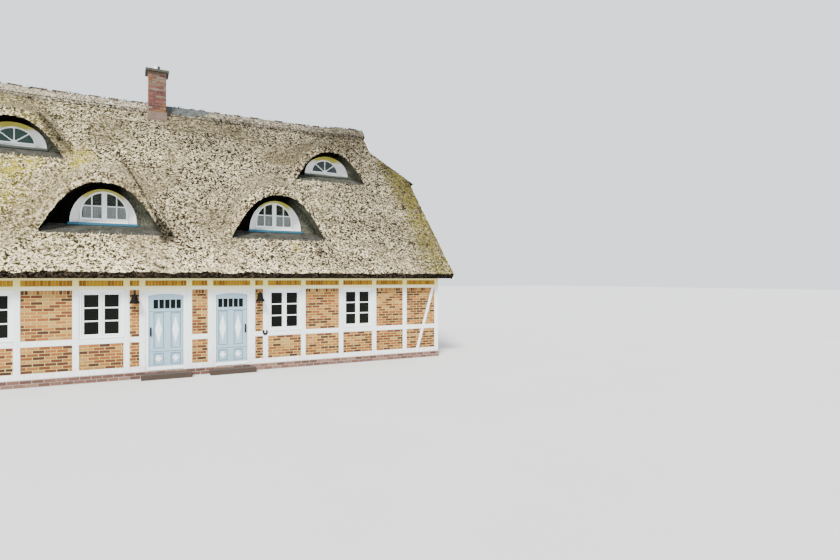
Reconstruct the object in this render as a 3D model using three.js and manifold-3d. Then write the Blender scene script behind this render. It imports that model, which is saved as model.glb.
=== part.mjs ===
// A thatched, half-timbered double cottage with two front doors, four eyebrow
// dormers and half-hipped gables. Millimetres, +Z up, the front faces -Y, and
// the origin is on the ground under the middle of the house.
import * as THREE from 'three';
import { mergeVertices } from 'three/addons/utils/BufferGeometryUtils.js';
import Module from 'manifold-3d';

const wasm = await Module();
wasm.setup();

// Driving dimensions of the house
const halfLength = 7510;
const halfDepth = 4920;
const wallThickness = 260;
const brickRecess = 15;
const timberDepth = 120;
const timberWidth = 140;
const gap = 0.3;
const skyHeight = 20000;

// Heights
const plinthTop = 180;
const soleTop = 320;
const railBottom = 960;
const railTop = 1100;
const plateBottom = 2320;
const plateTop = 2420;
const stubTop = 2565;
const wallTop = 2620;

// Posts of the front and back, as distances from the middle of the house
const postCentres = [270, 1400, 1760, 2870, 4055, 5165, 6250, 7440];
const [innerDoorPost, outerDoorPost] = postCentres;
const windowBays = [postCentres.slice(2, 4), postCentres.slice(4, 6)];

// Posts and rails of the gables
const gablePosts = [555, 1665, 2600, 3710];
const gableWindowBays = [[555, 1665], [2600, 3710], [-1665, -555], [-3710, -2600]];
const gableBeam = [2620, 2820];
const sillRail = [4000, 4100];
const headRail = [5200, 5300];
const upperPosts = [230, 1200, 1600, 2570];
const outerUpperPost = 3400;
const upperWindowBays = [[230, 1200], [1600, 2570], [-1200, -230], [-2570, -1600]];

// Roof: a slope of rise over run, with heights of the thatch's outer surface
const roofSlope = 1.082;
const eaveOverhang = 500;
const eaveHeight = 2768;
const eaveCut = 110;
const thatchRise = 440;
const vergeX = 7880;
const boardThickness = 40;
const gabletX = 6700;
const hipEaveX = 8000;
const hipEaveHeight = 6270;
const hipSlope = 1.0355;
const hipRise = 432;
const gableWallTop = 6330;

// Chimney
const chimneyX = -875;
const chimneyWidth = 535;
const chimneyFront = -570;
const chimneyTop = 9563;

// Eyebrow dormers, given in the roof's own terms: depth is measured inwards
// from the front face of the house
const lowerDormer = {
  x: 2300, lipDepth: 500, halfWidth: 1390, rise: 1274, lip: 250, backDepth: 1070,
  sill: 4090, windowHalf: 785, windowRise: 930, hoodSlope: 0.36,
  openingHalf: 550, openingSill: 4220, openingRise: 755,
};
const upperDormer = {
  x: 4600, lipDepth: 2560, halfWidth: 1250, rise: 1021, lip: 230, backDepth: 3060,
  sill: 6345, windowHalf: 800, windowRise: 690, hoodSlope: 0.36,
  openingHalf: 500, openingSill: 6480, openingRise: 460,
};

const paint = {
  brick: [0xb5653f, 0.9], timber: [0xf2f1ec, 0.6], thatch: [0x9b8f7c, 1.0],
  plinth: [0x8a6a58, 0.9], floor: [0xb09468, 0.8], glass: [0x27313a, 0.15],
  door: [0xc9d6e4, 0.5], iron: [0x1b1b1b, 0.5], chimney: [0xa8553c, 0.95],
  slab: [0x6c6a66, 0.9], step: [0x6b4b38, 0.9],
};

const cottage = new THREE.Group();
cottage.name = 'cottage';

function material(kind) {
  const [color, roughness] = paint[kind];
  return new THREE.MeshStandardMaterial({ color, roughness, metalness: 0 });
}

function toSolid(geometry) {
  geometry.deleteAttribute('normal');
  geometry.deleteAttribute('uv');
  const merged = mergeVertices(geometry, 0.001);
  return new wasm.Manifold(new wasm.Mesh({
    numProp: 3,
    vertProperties: Float32Array.from(merged.attributes.position.array),
    triVerts: Uint32Array.from(merged.index.array),
  }));
}

function toGeometry(solid) {
  const mesh = solid.asOriginal().getMesh();
  const geometry = new THREE.BufferGeometry();
  geometry.setAttribute('position', new THREE.BufferAttribute(mesh.vertProperties, 3));
  geometry.setIndex(new THREE.BufferAttribute(mesh.triVerts, 1));
  return geometry;
}

function place(name, solid, kind, position = [0, 0, 0]) {
  const mesh = new THREE.Mesh(toGeometry(solid), material(kind));
  mesh.name = name;
  mesh.position.set(...position);
  cottage.add(mesh);
  return solid;
}

// A box between two values on each axis, in either order, grown all round
function block(xs, ys, zs, grow = 0) {
  const low = [xs, ys, zs].map(([a, b]) => Math.min(a, b) - grow);
  const high = [xs, ys, zs].map(([a, b]) => Math.max(a, b) + grow);
  const size = high.map((value, i) => value - low[i]);
  const geometry = new THREE.BoxGeometry(...size);
  geometry.translate(...low.map((value, i) => value + size[i] / 2));
  return toSolid(geometry);
}

function extrusion(points, depth) {
  const shape = new THREE.Shape(points.map(([u, v]) => new THREE.Vector2(u, v)));
  return new THREE.ExtrudeGeometry(shape, { depth, bevelEnabled: false, steps: 1 });
}

// An outline of (y, z) points run along X, and one of (x, z) points along Y
function prismAlongX(points, xs) {
  const [from, to] = [Math.min(...xs), Math.max(...xs)];
  const geometry = extrusion(points, to - from);
  const turn = new THREE.Matrix4().makeBasis(
    new THREE.Vector3(0, 1, 0), new THREE.Vector3(0, 0, 1), new THREE.Vector3(1, 0, 0));
  geometry.applyMatrix4(turn.setPosition(from, 0, 0));
  return toSolid(geometry);
}

function prismAlongY(points, ys) {
  const [from, to] = [Math.min(...ys), Math.max(...ys)];
  const geometry = extrusion(points, to - from);
  const turn = new THREE.Matrix4().makeBasis(
    new THREE.Vector3(1, 0, 0), new THREE.Vector3(0, 0, 1), new THREE.Vector3(0, -1, 0));
  geometry.applyMatrix4(turn.setPosition(0, to, 0));
  return toSolid(geometry);
}

function prismAlongZ(points, zs) {
  const [from, to] = [Math.min(...zs), Math.max(...zs)];
  const geometry = extrusion(points, to - from);
  geometry.translate(0, 0, from);
  return toSolid(geometry);
}

function join(solids) {
  return solids.reduce((whole, next) => whole.add(next));
}

function cut(solid, tools) {
  return tools.reduce((whole, tool) => whole.subtract(tool), solid);
}

const sides = [['right', 1], ['left', -1]];
const both = (values) => values.flatMap((value) => [value, -value]);

// Height of the thatch's outer surface, and of its underside, over a front
// or back slope at a depth in from the wall's face
const slopeHeight = (depth) => eaveHeight + (depth + eaveOverhang) * roofSlope;
const undersideHeight = (depth) => slopeHeight(depth) - thatchRise;
const undersideDepth = (height) => (height - undersideHeight(0)) / roofSlope;
const hipHeight = (x) => hipEaveHeight + (hipEaveX - x) * hipSlope;
const hipUnderside = (x) => hipHeight(x) - hipRise;

// Timber bars in the plane of a long wall. A bar is a run along the wall and
// a run in height; grow makes the groove that the bar lies in.
function longWallBar(facing, run, height, grow = 0) {
  const outer = facing * (halfDepth + (grow ? brickRecess : 0));
  const inner = facing * (halfDepth - timberDepth);
  return block(run, [outer, inner], height, grow);
}

function gableBar(side, run, height, grow = 0) {
  const outer = side * (halfLength + (grow ? brickRecess : 0));
  const inner = side * (halfLength - timberDepth);
  return block([outer, inner], run, height, grow);
}

const postRun = (centre) => [centre - timberWidth / 2, centre + timberWidth / 2];

// A slanted brace in a corner bay, from the plate down to the sole. Bars that
// meet run a little into each other, by the lap.
const braceWidth = 100;
const lap = 20;
const farOut = 6000;

function braceOutline(top, foot, grow) {
  const half = braceWidth / 2 + grow;
  return [
    [top - half, plateBottom + grow], [top + half, plateBottom + grow],
    [foot + half, soleTop - grow], [foot - half, soleTop - grow],
  ];
}

function frontBars(side, grow = 0) {
  const from = side * (outerDoorPost - timberWidth / 2);
  const to = side * halfLength;
  const posts = postCentres.slice(1).map((centre) =>
    longWallBar(-1, postRun(side * centre), [soleTop - lap, plateBottom - gap], grow));
  const bayBox = block(
    [side * 6300, side * 7400], [-farOut, 0], [soleTop - lap, plateBottom - gap], grow);
  const brace = prismAlongY(
    braceOutline(side * 7310, side * 6720, grow),
    [-halfDepth - (grow ? brickRecess : 0), -halfDepth + timberDepth + grow]);
  return [
    longWallBar(-1, [from, to], [plinthTop + gap, soleTop], grow),
    longWallBar(-1, [from, to], [railBottom, railTop], grow),
    brace.intersect(bayBox),
    ...posts,
  ];
}

// The plate over the doors and windows, the stubs above it, the rail under
// the thatch and the two posts between the doors
function plateBars(grow = 0) {
  const whole = [-halfLength, halfLength];
  const middle = [-innerDoorPost - timberWidth / 2, innerDoorPost + timberWidth / 2];
  const stubs = both(postCentres).map((centre) =>
    longWallBar(-1, postRun(centre), [plateTop - lap, stubTop + lap], grow));
  const middlePosts = [1, -1].map((side) =>
    longWallBar(-1, postRun(side * innerDoorPost), [plinthTop + gap, plateBottom + lap], grow));
  return [
    longWallBar(-1, whole, [plateBottom, plateTop], grow),
    longWallBar(-1, whole, [stubTop, wallTop - gap], grow),
    longWallBar(-1, middle, [railBottom, railTop], grow),
    longWallBar(-1, middle, [plinthTop + gap, soleTop], grow),
    ...stubs, ...middlePosts,
  ];
}

const backWindowBays = [[270, 1400], ...windowBays].flatMap(([a, b]) => [[a, b], [-b, -a]]);

// The four bars of the ring of a casement window that fills its bay, each let
// a little into the post or rail beside it
const windowBorder = 80;
const windowLet = 10;

function casementBars([leftPost, rightPost], [bottom, top]) {
  const from = leftPost + timberWidth / 2;
  const to = rightPost - timberWidth / 2;
  return [
    [[from - windowLet, from + windowBorder], [bottom, top]],
    [[to - windowBorder, to + windowLet], [bottom, top]],
    [[from, to], [bottom - windowLet, bottom + windowBorder]],
    [[from, to], [top - windowBorder, top + windowLet]],
  ];
}

function backBars(grow = 0) {
  const whole = [-halfLength, halfLength];
  const posts = both(postCentres).map((centre) =>
    longWallBar(1, postRun(centre), [soleTop - lap, wallTop - gap], grow));
  const rings = grow ? [] : backWindowBays.flatMap((bay) => casementBars(bay, [railTop, plateBottom]));
  const casements = rings.map(([run, height]) =>
    block(run, [halfDepth - brickRecess, halfDepth - timberDepth], height));
  return [
    longWallBar(1, whole, [plinthTop + gap, soleTop], grow),
    longWallBar(1, whole, [railBottom, railTop], grow),
    longWallBar(1, whole, [plateBottom, plateTop], grow),
    longWallBar(1, whole, [stubTop, wallTop - gap], grow),
    ...posts, ...casements,
  ];
}

// Outline of a gable wall under the slopes and the half-hip, drawn inwards
// by a small clearance
function gableOutline(clear) {
  const foot = halfDepth - wallThickness - gap;
  const eaveTop = undersideHeight(wallThickness) - clear;
  const top = gableWallTop - clear;
  const topRun = halfDepth - undersideDepth(top + clear);
  return [
    [-foot, plinthTop + gap], [foot, plinthTop + gap], [foot, eaveTop],
    [topRun, top], [-topRun, top], [-foot, eaveTop],
  ];
}

function gableBars(side, grow = 0) {
  const ground = [-(halfDepth - timberDepth - gap), halfDepth - timberDepth - gap];
  const inside = [-(halfDepth - wallThickness - gap), halfDepth - wallThickness - gap];
  const casements = grow ? [] : [
    ...gableWindowBays.flatMap((bay) => casementBars(bay, [railTop, plateBottom])),
    ...upperWindowBays.flatMap((bay) => casementBars(bay, [sillRail[1], headRail[0]])),
  ];
  const bars = [
    [ground, [plinthTop + gap, soleTop]], [ground, [railBottom, railTop]],
    [ground, [plateBottom, plateTop]], [inside, gableBeam], [inside, sillRail], [inside, headRail],
    ...both(gablePosts).map((centre) => [postRun(centre), [soleTop - lap, gableBeam[0] + lap]]),
    ...both(upperPosts).map((centre) => [postRun(centre), [gableBeam[1] - lap, gableWallTop]]),
    ...both([outerUpperPost]).map((centre) =>
      [postRun(centre), [gableBeam[1] - lap, sillRail[0] + lap]]),
    ...casements,
  ];
  const braces = [1, -1].map((end) => prismAlongX(
    braceOutline(end * 4640, end * 4160, grow),
    [side * (halfLength + (grow ? brickRecess : 0)), side * (halfLength - timberDepth - grow)]));
  const upper = prismAlongX(gableOutline(gap - grow), [side * 7000, side * 8000]);
  const lower = block([side * 7000, side * 8000], [-halfDepth, halfDepth], [0, wallTop]);
  return join([...bars.map(([run, height]) => gableBar(side, run, height, grow)), ...braces])
    .intersect(upper.add(lower));
}

// Holes for windows reach a little behind the posts and rails round them
const behind = 10;
const holeRun = ([a, b]) => [a + timberWidth / 2 - behind, b - timberWidth / 2 + behind];
const holeHeight = [railTop - behind, plateBottom + behind];

// One sheet of glass closes the windows of each wall and storey
const sheetDepth = [160, 166];
const sheetMargin = 30;

function longWallSheet(facing, run, grow = 0) {
  const ys = sheetDepth.map((depth) => facing * (halfDepth - depth));
  return block([run[0] - sheetMargin, run[1] + sheetMargin], ys,
    [railTop - sheetMargin, plateBottom + sheetMargin], grow);
}

function gableSheet(side, reach, height, grow = 0) {
  const xs = sheetDepth.map((depth) => side * (halfLength - depth));
  return block(xs, [-reach - sheetMargin, reach + sheetMargin],
    [height[0] - sheetMargin, height[1] + sheetMargin], grow);
}

// A plinth and ground floor in one slab, a little wider than the walls, and a
// step before each door
function buildBase() {
  const ledge = 20;
  const base = block(
    [-halfLength - ledge, halfLength + ledge], [-halfDepth - ledge, halfDepth + ledge], [0, plinthTop]);
  place('plinth', base, 'plinth');
  for (const [name, side] of sides) {
    const stepDepth = [-halfDepth - ledge - gap, -halfDepth - 360];
    const step = block([side * 235, side * 1435], stepDepth, [0, 130]);
    place(`${name}_door_step`, step, 'step');
  }
}

const chimneyColumn = (grow) => block(
  [chimneyX - chimneyWidth / 2, chimneyX + chimneyWidth / 2],
  [chimneyFront, chimneyFront + chimneyWidth], [plinthTop + gap, chimneyTop], grow);

function buildFloors() {
  const clearX = halfLength - wallThickness - gap;
  const clearY = halfDepth - wallThickness - gap;
  const shaft = chimneyColumn(gap);
  const upper = block([-clearX, clearX], [-clearY, clearY], [2500, 2700]);
  place('upper_floor', upper.subtract(shaft), 'floor');
  const [loftBottom, loftTop] = [5600, 5750];
  const reach = (height) => halfDepth - undersideDepth(height) - gap;
  const loft = prismAlongX([
    [-reach(loftBottom), loftBottom], [reach(loftBottom), loftBottom],
    [reach(loftTop), loftTop], [-reach(loftTop), loftTop],
  ], [-clearX, clearX]);
  place('loft_floor', loft.subtract(shaft), 'floor');
}

function buildFrontWalls(gableFrames) {
  const faces = [-halfDepth + brickRecess, -halfDepth + wallThickness];
  const plateGrooves = plateBars(gap);
  const corner = halfLength - brickRecess;
  const doorEdge = outerDoorPost - timberWidth / 2;
  for (const [name, side] of sides) {
    const run = [side * (doorEdge + gap), side * corner];
    const brick = block(run, faces, [plinthTop + gap, wallTop - gap]);
    const holes = windowBays.map((bay) =>
      block(holeRun(bay).map((x) => side * x), [-farOut, -4000], holeHeight));
    const sheetRun = [windowBays[0][0], windowBays[1][1]].map((x) => side * x);
    const sheet = (grow) => longWallSheet(-1, [Math.min(...sheetRun), Math.max(...sheetRun)], grow);
    place(`front_wall_${name}`, cut(brick, [
      ...frontBars(side, gap), ...plateGrooves, ...holes, sheet(gap), gableFrames[name].groove,
    ]), 'brick');
    place(`front_frame_${name}`, join(frontBars(side)), 'timber');
    place(`front_glass_${name}`, sheet(0), 'glass');
  }
  const pierEdge = innerDoorPost + timberWidth / 2;
  const pier = block([-pierEdge, pierEdge], faces, [plinthTop + gap, plateBottom - gap]);
  place('front_pier', cut(pier, plateGrooves), 'brick');
  const lintel = block([-doorEdge, doorEdge], faces, [plateBottom, wallTop - gap]);
  place('door_lintel', cut(lintel, plateGrooves), 'brick');
  place('front_plate', join(plateBars()), 'timber');
}

function buildBackWall(gableFrames) {
  const corner = halfLength - brickRecess;
  const brick = block([-corner, corner], [halfDepth - brickRecess, halfDepth - wallThickness],
    [plinthTop + gap, wallTop - gap]);
  const holes = backWindowBays.map((bay) => block(holeRun(bay), [4000, farOut], holeHeight));
  const reach = windowBays[1][1];
  place('back_wall', cut(brick, [
    ...backBars(gap), ...holes, longWallSheet(1, [-reach, reach], gap),
    gableFrames.right.groove, gableFrames.left.groove,
  ]), 'brick');
  place('back_frame', join(backBars()), 'timber');
  place('back_glass', longWallSheet(1, [-reach, reach]), 'glass');
}

function buildGables(gableFrames) {
  const sheets = [
    ['ground', gableWindowBays[1][1], [railTop, plateBottom]],
    ['upper', upperWindowBays[1][1] - timberWidth, [sillRail[1], headRail[0] - 40]],
  ];
  for (const [name, side] of sides) {
    const outline = prismAlongX(gableOutline(gap), [
      side * (halfLength - brickRecess), side * (halfLength - wallThickness)]);
    const through = [side * 7000, side * 8000];
    const holes = [
      ...gableWindowBays.map((bay) => block(through, holeRun(bay), holeHeight)),
      ...upperWindowBays.map((bay) =>
        block(through, holeRun(bay), [sillRail[1] - behind, headRail[0] + behind])),
    ];
    place(`${name}_gable_wall`, cut(outline, [
      gableFrames[name].groove, ...holes,
      ...sheets.map(([, reach, height]) => gableSheet(side, reach, height, gap)),
    ]), 'brick');
    place(`${name}_gable_frame`, gableFrames[name].frame, 'timber');
    for (const [storey, reach, height] of sheets) {
      place(`${name}_gable_glass_${storey}`, gableSheet(side, reach, height), 'glass');
    }
  }
}

function buildFrontWindows() {
  const height = [railTop, plateBottom];
  const half = (windowBays[0][1] - windowBays[0][0] - timberWidth) / 2 - gap;
  const run = [-half, half];
  const inset = [height[0] + gap, height[1] - gap];
  const depth = [-halfDepth + brickRecess, -halfDepth + timberDepth];
  const ring = block(run, depth, inset);
  const lightWidth = half - windowBorder * 1.5;
  const lights = [1, -1].map((side) => block(
    [side * windowBorder / 2, side * (windowBorder / 2 + lightWidth)], [-farOut, 0],
    [inset[0] + windowBorder, inset[1] - windowBorder]));
  const frame = cut(ring, lights);
  for (const [name, side] of sides) {
    for (const [spot, bay] of [['inner', windowBays[0]], ['outer', windowBays[1]]]) {
      place(`front_window_${name}_${spot}`, frame, 'timber', [side * (bay[0] + bay[1]) / 2, 0, 0]);
    }
  }
}

const doorJamb = 60;
const doorHead = { spring: 2170, crown: 2220 };
const leafFace = -halfDepth + 40;
const leafThickness = 50;
const leafBack = leafFace + leafThickness;
const hinge = { x: 402.5, y: leafBack + 12, radius: 7, heights: [400, 1150, 1900], length: 40 };
const doorEdges = [innerDoorPost + timberWidth / 2, outerDoorPost - timberWidth / 2];

// The slightly arched outline of a door, between two distances from the
// middle of the house
function doorOutline(side, from, to, bottom, rise) {
  const points = [[side * from, bottom], [side * to, bottom]];
  const steps = 6;
  for (let i = 0; i <= steps; i += 1) {
    const t = 1 - (2 * i) / steps;
    const x = (from + to) / 2 + (t * (to - from)) / 2;
    points.push([side * x, doorHead.spring + rise + (doorHead.crown - doorHead.spring) * (1 - t * t)]);
  }
  return points;
}

function knuckle(side, bottom) {
  const geometry = new THREE.CylinderGeometry(hinge.radius, hinge.radius, hinge.length, 10);
  geometry.rotateX(Math.PI / 2);
  geometry.translate(side * hinge.x, hinge.y, bottom + hinge.length / 2);
  return toSolid(geometry);
}

function buildDoors() {
  const [inner, outer] = doorEdges;
  const stopEdge = 75;
  const belowDoor = 100;
  const stopFace = leafFace - 5;
  for (const [name, side] of sides) {
    const body = block([side * (inner + gap), side * (outer - gap)],
      [-halfDepth + brickRecess, leafBack + 4], [plinthTop + gap, plateBottom - gap]);
    const stop = prismAlongY(
      doorOutline(side, inner + stopEdge, outer - stopEdge, belowDoor, -15), [-farOut, stopFace]);
    const rebate = prismAlongY(
      doorOutline(side, inner + doorJamb, outer - doorJamb, belowDoor, 5), [stopFace, 0]);
    const pins = hinge.heights.map((z) => knuckle(side, z).add(block(
      [side * (hinge.x - 20), side * hinge.x], [hinge.y - 14, hinge.y + 4], [z, z + hinge.length])));
    place(`${name}_door_frame`, join([cut(body, [stop, rebate]), ...pins]), 'timber');
    buildLeaf(name, side);
  }
}

// Long and short panels of the leaf, and the row of panes at its head
function buildLeaf(name, side) {
  const hingeGap = 5;
  const lockGap = 8;
  const inner = doorEdges[0] + doorJamb + hingeGap;
  const outer = doorEdges[1] - doorJamb - lockGap;
  const leaf = prismAlongY(doorOutline(side, inner, outer, plinthTop + 5, 0), [leafFace, leafBack]);
  const middle = (inner + outer) / 2;
  const panelMiddle = middle - 28;
  const panelRun = [80, 330];
  const panelHeights = [[760, 1720], [330, 640]];
  const panelSink = 10;
  const panels = panelHeights.flatMap((height) => [1, -1].map((hand) => block(
    panelRun.map((x) => side * (panelMiddle + hand * x)), [-farOut, leafFace + panelSink], height)));
  const paneHalf = 335;
  const paneHeight = [1810, 2060];
  const paneRun = [side * (panelMiddle - paneHalf), side * (panelMiddle + paneHalf)];
  const paneHole = block(paneRun, [-farOut, 0], paneHeight);
  const handleX = side * (outer - 60);
  const holeHalf = spindleHalf + gap;
  const spindleHole = block([handleX - holeHalf, handleX + holeHalf], [-farOut, 0],
    [gripHeight - holeHalf, gripHeight + holeHalf]);
  const knuckles = hinge.heights.map((height) => {
    const bottom = height + hinge.length + gap;
    return knuckle(side, bottom).add(block([side * hinge.x, side * (hinge.x + 40)],
      [leafBack - 5, hinge.y + 5], [bottom, bottom + hinge.length]));
  });
  place(`${name}_door_leaf`, join([cut(leaf, [...panels, paneHole, spindleHole]), ...knuckles]), 'door');
  place(`${name}_door_glass`, block(
    [paneRun[0] + side * gap, paneRun[1] - side * gap], [leafFace + 20, leafFace + 26],
    [paneHeight[0] + gap, paneHeight[1] - gap]), 'glass');
  buildHandle(name, handleX);
}

// A long plate and an upright grip on each face of the leaf, joined by a spindle
const gripHeight = 1200;
const spindleHalf = 5.7;

function buildHandle(name, x) {
  const plateHeight = [gripHeight - 120, gripHeight + 130];
  const postHalf = 8;
  const gripOut = [38, 54];
  const parts = [[leafFace - gap, -1], [leafBack + gap, 1]].flatMap(([face, out]) => [
    block([x - 18, x + 18], [face, face + out * 7], plateHeight),
    block([x - 9, x + 9], gripOut.map((far) => face + out * far), [gripHeight - 95, gripHeight + 105]),
    ...[gripHeight - 80, gripHeight, gripHeight + 90].map((z) => block(
      [x - postHalf, x + postHalf], [face + out * 5, face + out * 42], [z - postHalf, z + postHalf])),
  ]);
  const spindle = block([x - spindleHalf, x + spindleHalf], [leafFace - 5, leafBack + 5],
    [gripHeight - spindleHalf, gripHeight + spindleHalf]);
  place(`${name}_door_handle`, join([...parts, spindle]), 'iron');
}

// Half of an ellipse standing on a level line, as the dormer windows have
function archOutline(x, bottom, halfWidth, rise, steps = 12) {
  return Array.from({ length: steps + 1 }, (_, i) => {
    const angle = (Math.PI * i) / steps;
    return [x + halfWidth * Math.cos(angle), bottom + rise * Math.sin(angle)];
  });
}

// Rounded profile that a hood and its niche share, 1 at the middle and 0 at
// the feet
const arching = (share) => (Math.abs(share) < 1 ? (1 - Math.abs(share) ** 2.4) ** 1.1 : 0);

function hoodHeight(dormer, x, depth) {
  const foot = slopeHeight(dormer.lipDepth);
  const spread = (x - dormer.x) / (dormer.halfWidth + 1.2 * dormer.lip);
  const crown = foot - 60 + (dormer.rise + dormer.lip + 60) * arching(spread);
  const behindLip = depth - dormer.lipDepth;
  return behindLip >= 0 ? crown + behindLip * dormer.hoodSlope : -Infinity;
}

const allDormers = [lowerDormer, upperDormer].flatMap((dormer) =>
  [dormer, { ...dormer, x: -dormer.x }]);

function thatchHeight(x, depth) {
  return Math.max(slopeHeight(depth), ...allDormers.map((dormer) => hoodHeight(dormer, x, depth)));
}

const fromFront = (depth) => depth - halfDepth;

// Outline of a slope's thatch from the eave to the ridge. Left open at the
// top, it is the envelope that the uneven front surface is cut to.
function thatchSection(facing, openTop = false) {
  const eave = -eaveOverhang;
  const ridge = halfDepth - gap;
  const top = openTop ? [[eave, skyHeight], [ridge, skyHeight]] : [[ridge, slopeHeight(ridge)]];
  const outline = [
    [eave + eaveCut, wallTop], [eave, eaveHeight], ...top,
    [ridge, undersideHeight(halfDepth)], [wallThickness, undersideHeight(wallThickness)],
    [wallThickness, wallTop],
  ];
  return outline.map(([depth, z]) => [-facing * fromFront(depth), z]);
}

// Plan of one slope: the verges at the gables, the mitres at the half-hips
// and the short lengths beside the gablets
function slopePlan(facing) {
  const hipFoot = (hipEaveHeight - slopeHeight(0)) / roofSlope;
  const gabletFoot = (hipHeight(gabletX) - slopeHeight(0)) / roofSlope;
  const verge = vergeX - boardThickness - gap;
  const mitre = (x) => hipFoot + ((hipEaveX - x) / (hipEaveX - gabletX)) * (gabletFoot - hipFoot);
  const half = [
    [verge, -eaveOverhang - 100], [verge, mitre(verge) - gap], [gabletX, gabletFoot - gap],
    [gabletX, halfDepth + 10],
  ];
  const whole = [...half, ...half.toReversed().map(([x, depth]) => [-x, depth])];
  return whole.map(([x, depth]) => [x, -facing * fromFront(depth)]);
}

// The front slope's outer surface, as a box whose top follows the hoods
function frontSurface() {
  const spread = [-1, -0.85, -0.65, -0.4, -0.15, 0.15, 0.4, 0.65, 0.85, 1];
  const hoodLines = allDormers.flatMap((dormer) => spread.map((share) =>
    dormer.x + share * (dormer.halfWidth + 1.2 * dormer.lip)));
  const xs = [...new Set([...hoodLines, -8200, -7200, -300, 300, 7200, 8200].map(Math.round))]
    .sort((a, b) => a - b).filter((x, i, list) => i === 0 || x - list[i - 1] > 60);
  const depths = [
    -600, 300, 440, 500, 900, 1300, 1750, 2200, 2490, 2560, 3000, 3400, 3850, 4300, 4950,
  ];
  const geometry = new THREE.BoxGeometry(1, 1, 1, xs.length - 1, depths.length - 1, 1);
  const position = geometry.attributes.position;
  for (let i = 0; i < position.count; i += 1) {
    const x = xs[Math.round((position.getX(i) + 0.5) * (xs.length - 1))];
    const depth = depths[Math.round((position.getY(i) + 0.5) * (depths.length - 1))];
    const top = position.getZ(i) > 0;
    position.setXYZ(i, x, fromFront(depth), top ? thatchHeight(x, depth) : 1000);
  }
  return toSolid(geometry);
}

// The hollow in front of a dormer window, cut into the thatch and the hood
function niche(dormer) {
  const foot = slopeHeight(dormer.lipDepth);
  const steps = 14;
  const arch = Array.from({ length: steps + 1 }, (_, i) => {
    const share = 1 - (2 * i) / steps;
    return [dormer.x + share * dormer.halfWidth, foot + dormer.rise * arching(share) + 1];
  });
  const [x0, x1] = [dormer.x - dormer.halfWidth, dormer.x + dormer.halfWidth];
  const front = fromFront(dormer.lipDepth - 200);
  const back = fromFront(dormer.backDepth);
  const opening = prismAlongY([[x0, foot - 400], [x1, foot - 400], ...arch], [front, back]);
  const floor = prismAlongX([
    [front, foot - 140], [back, dormer.sill - 30], [back, foot + 3000], [front, foot + 3000],
  ], [x0, x1]);
  return opening.intersect(floor);
}

function dormerTunnel(dormer) {
  const outline = archOutline(
    dormer.x, dormer.sill - gap, dormer.windowHalf + gap, dormer.windowRise + 2 * gap);
  return prismAlongY(outline, [fromFront(dormer.backDepth - 50), fromFront(dormer.backDepth + 1500)]);
}

function buildThatch() {
  const long = [-8500, 8500];
  const hatch = chimneyColumn(gap);
  const envelope = prismAlongX(thatchSection(-1, true), long)
    .intersect(prismAlongZ(slopePlan(-1), [0, skyHeight]));
  const coat = cut(frontSurface().intersect(envelope), [
    hatch, ...allDormers.map(niche), ...allDormers.map(dormerTunnel),
  ]);
  const lengths = { right: [chimneyX + gap / 2, long[1]], left: [long[0], chimneyX - gap / 2] };
  for (const [name, run] of Object.entries(lengths)) {
    const length = block(run, [-2 * halfDepth, halfDepth], [0, skyHeight]);
    place(`front_thatch_${name}`, coat.intersect(length), 'thatch');
  }
  const back = prismAlongX(thatchSection(1), long).intersect(prismAlongZ(slopePlan(1), [0, skyHeight]));
  place('back_thatch', back.subtract(hatch), 'thatch');
  for (const [name, side] of sides) {
    place(`${name}_hip_thatch`, hipThatch(side), 'thatch');
  }
}

// A half-hip, with the upright panel that closes the gablet above it
function hipThatch(side) {
  const hipFoot = halfDepth - (hipEaveHeight - slopeHeight(0)) / roofSlope;
  const gabletFoot = halfDepth - (hipHeight(gabletX) - slopeHeight(0)) / roofSlope;
  const innerFace = halfLength - wallThickness;
  const wallX = hipEaveX - (gableWallTop + hipRise - hipEaveHeight) / hipSlope;
  const cutBack = 216;
  const section = prismAlongY([
    [hipEaveX, hipEaveHeight], [gabletX, hipHeight(gabletX)], [gabletX, hipUnderside(gabletX)],
    [innerFace, hipUnderside(innerFace)], [innerFace, gableWallTop], [wallX, gableWallTop],
    [hipEaveX - cutBack, hipUnderside(hipEaveX - cutBack)],
  ].map(([x, z]) => [side * x, z]), [-halfDepth, halfDepth]);
  const plan = prismAlongZ([
    [side * hipEaveX, -hipFoot], [side * hipEaveX, hipFoot],
    [side * gabletX, gabletFoot], [side * gabletX, -gabletFoot],
  ], [0, skyHeight]);
  const reach = (height) => halfDepth - undersideDepth(height) - gap;
  const base = hipUnderside(gabletX) + 40;
  const apex = undersideHeight(halfDepth) - gap * 2;
  const panel = prismAlongX([[-reach(base), base], [reach(base), base], [0, apex]],
    [side * (gabletX - 80), side * (gabletX + 20)]);
  return section.intersect(plan).add(panel);
}

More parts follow.
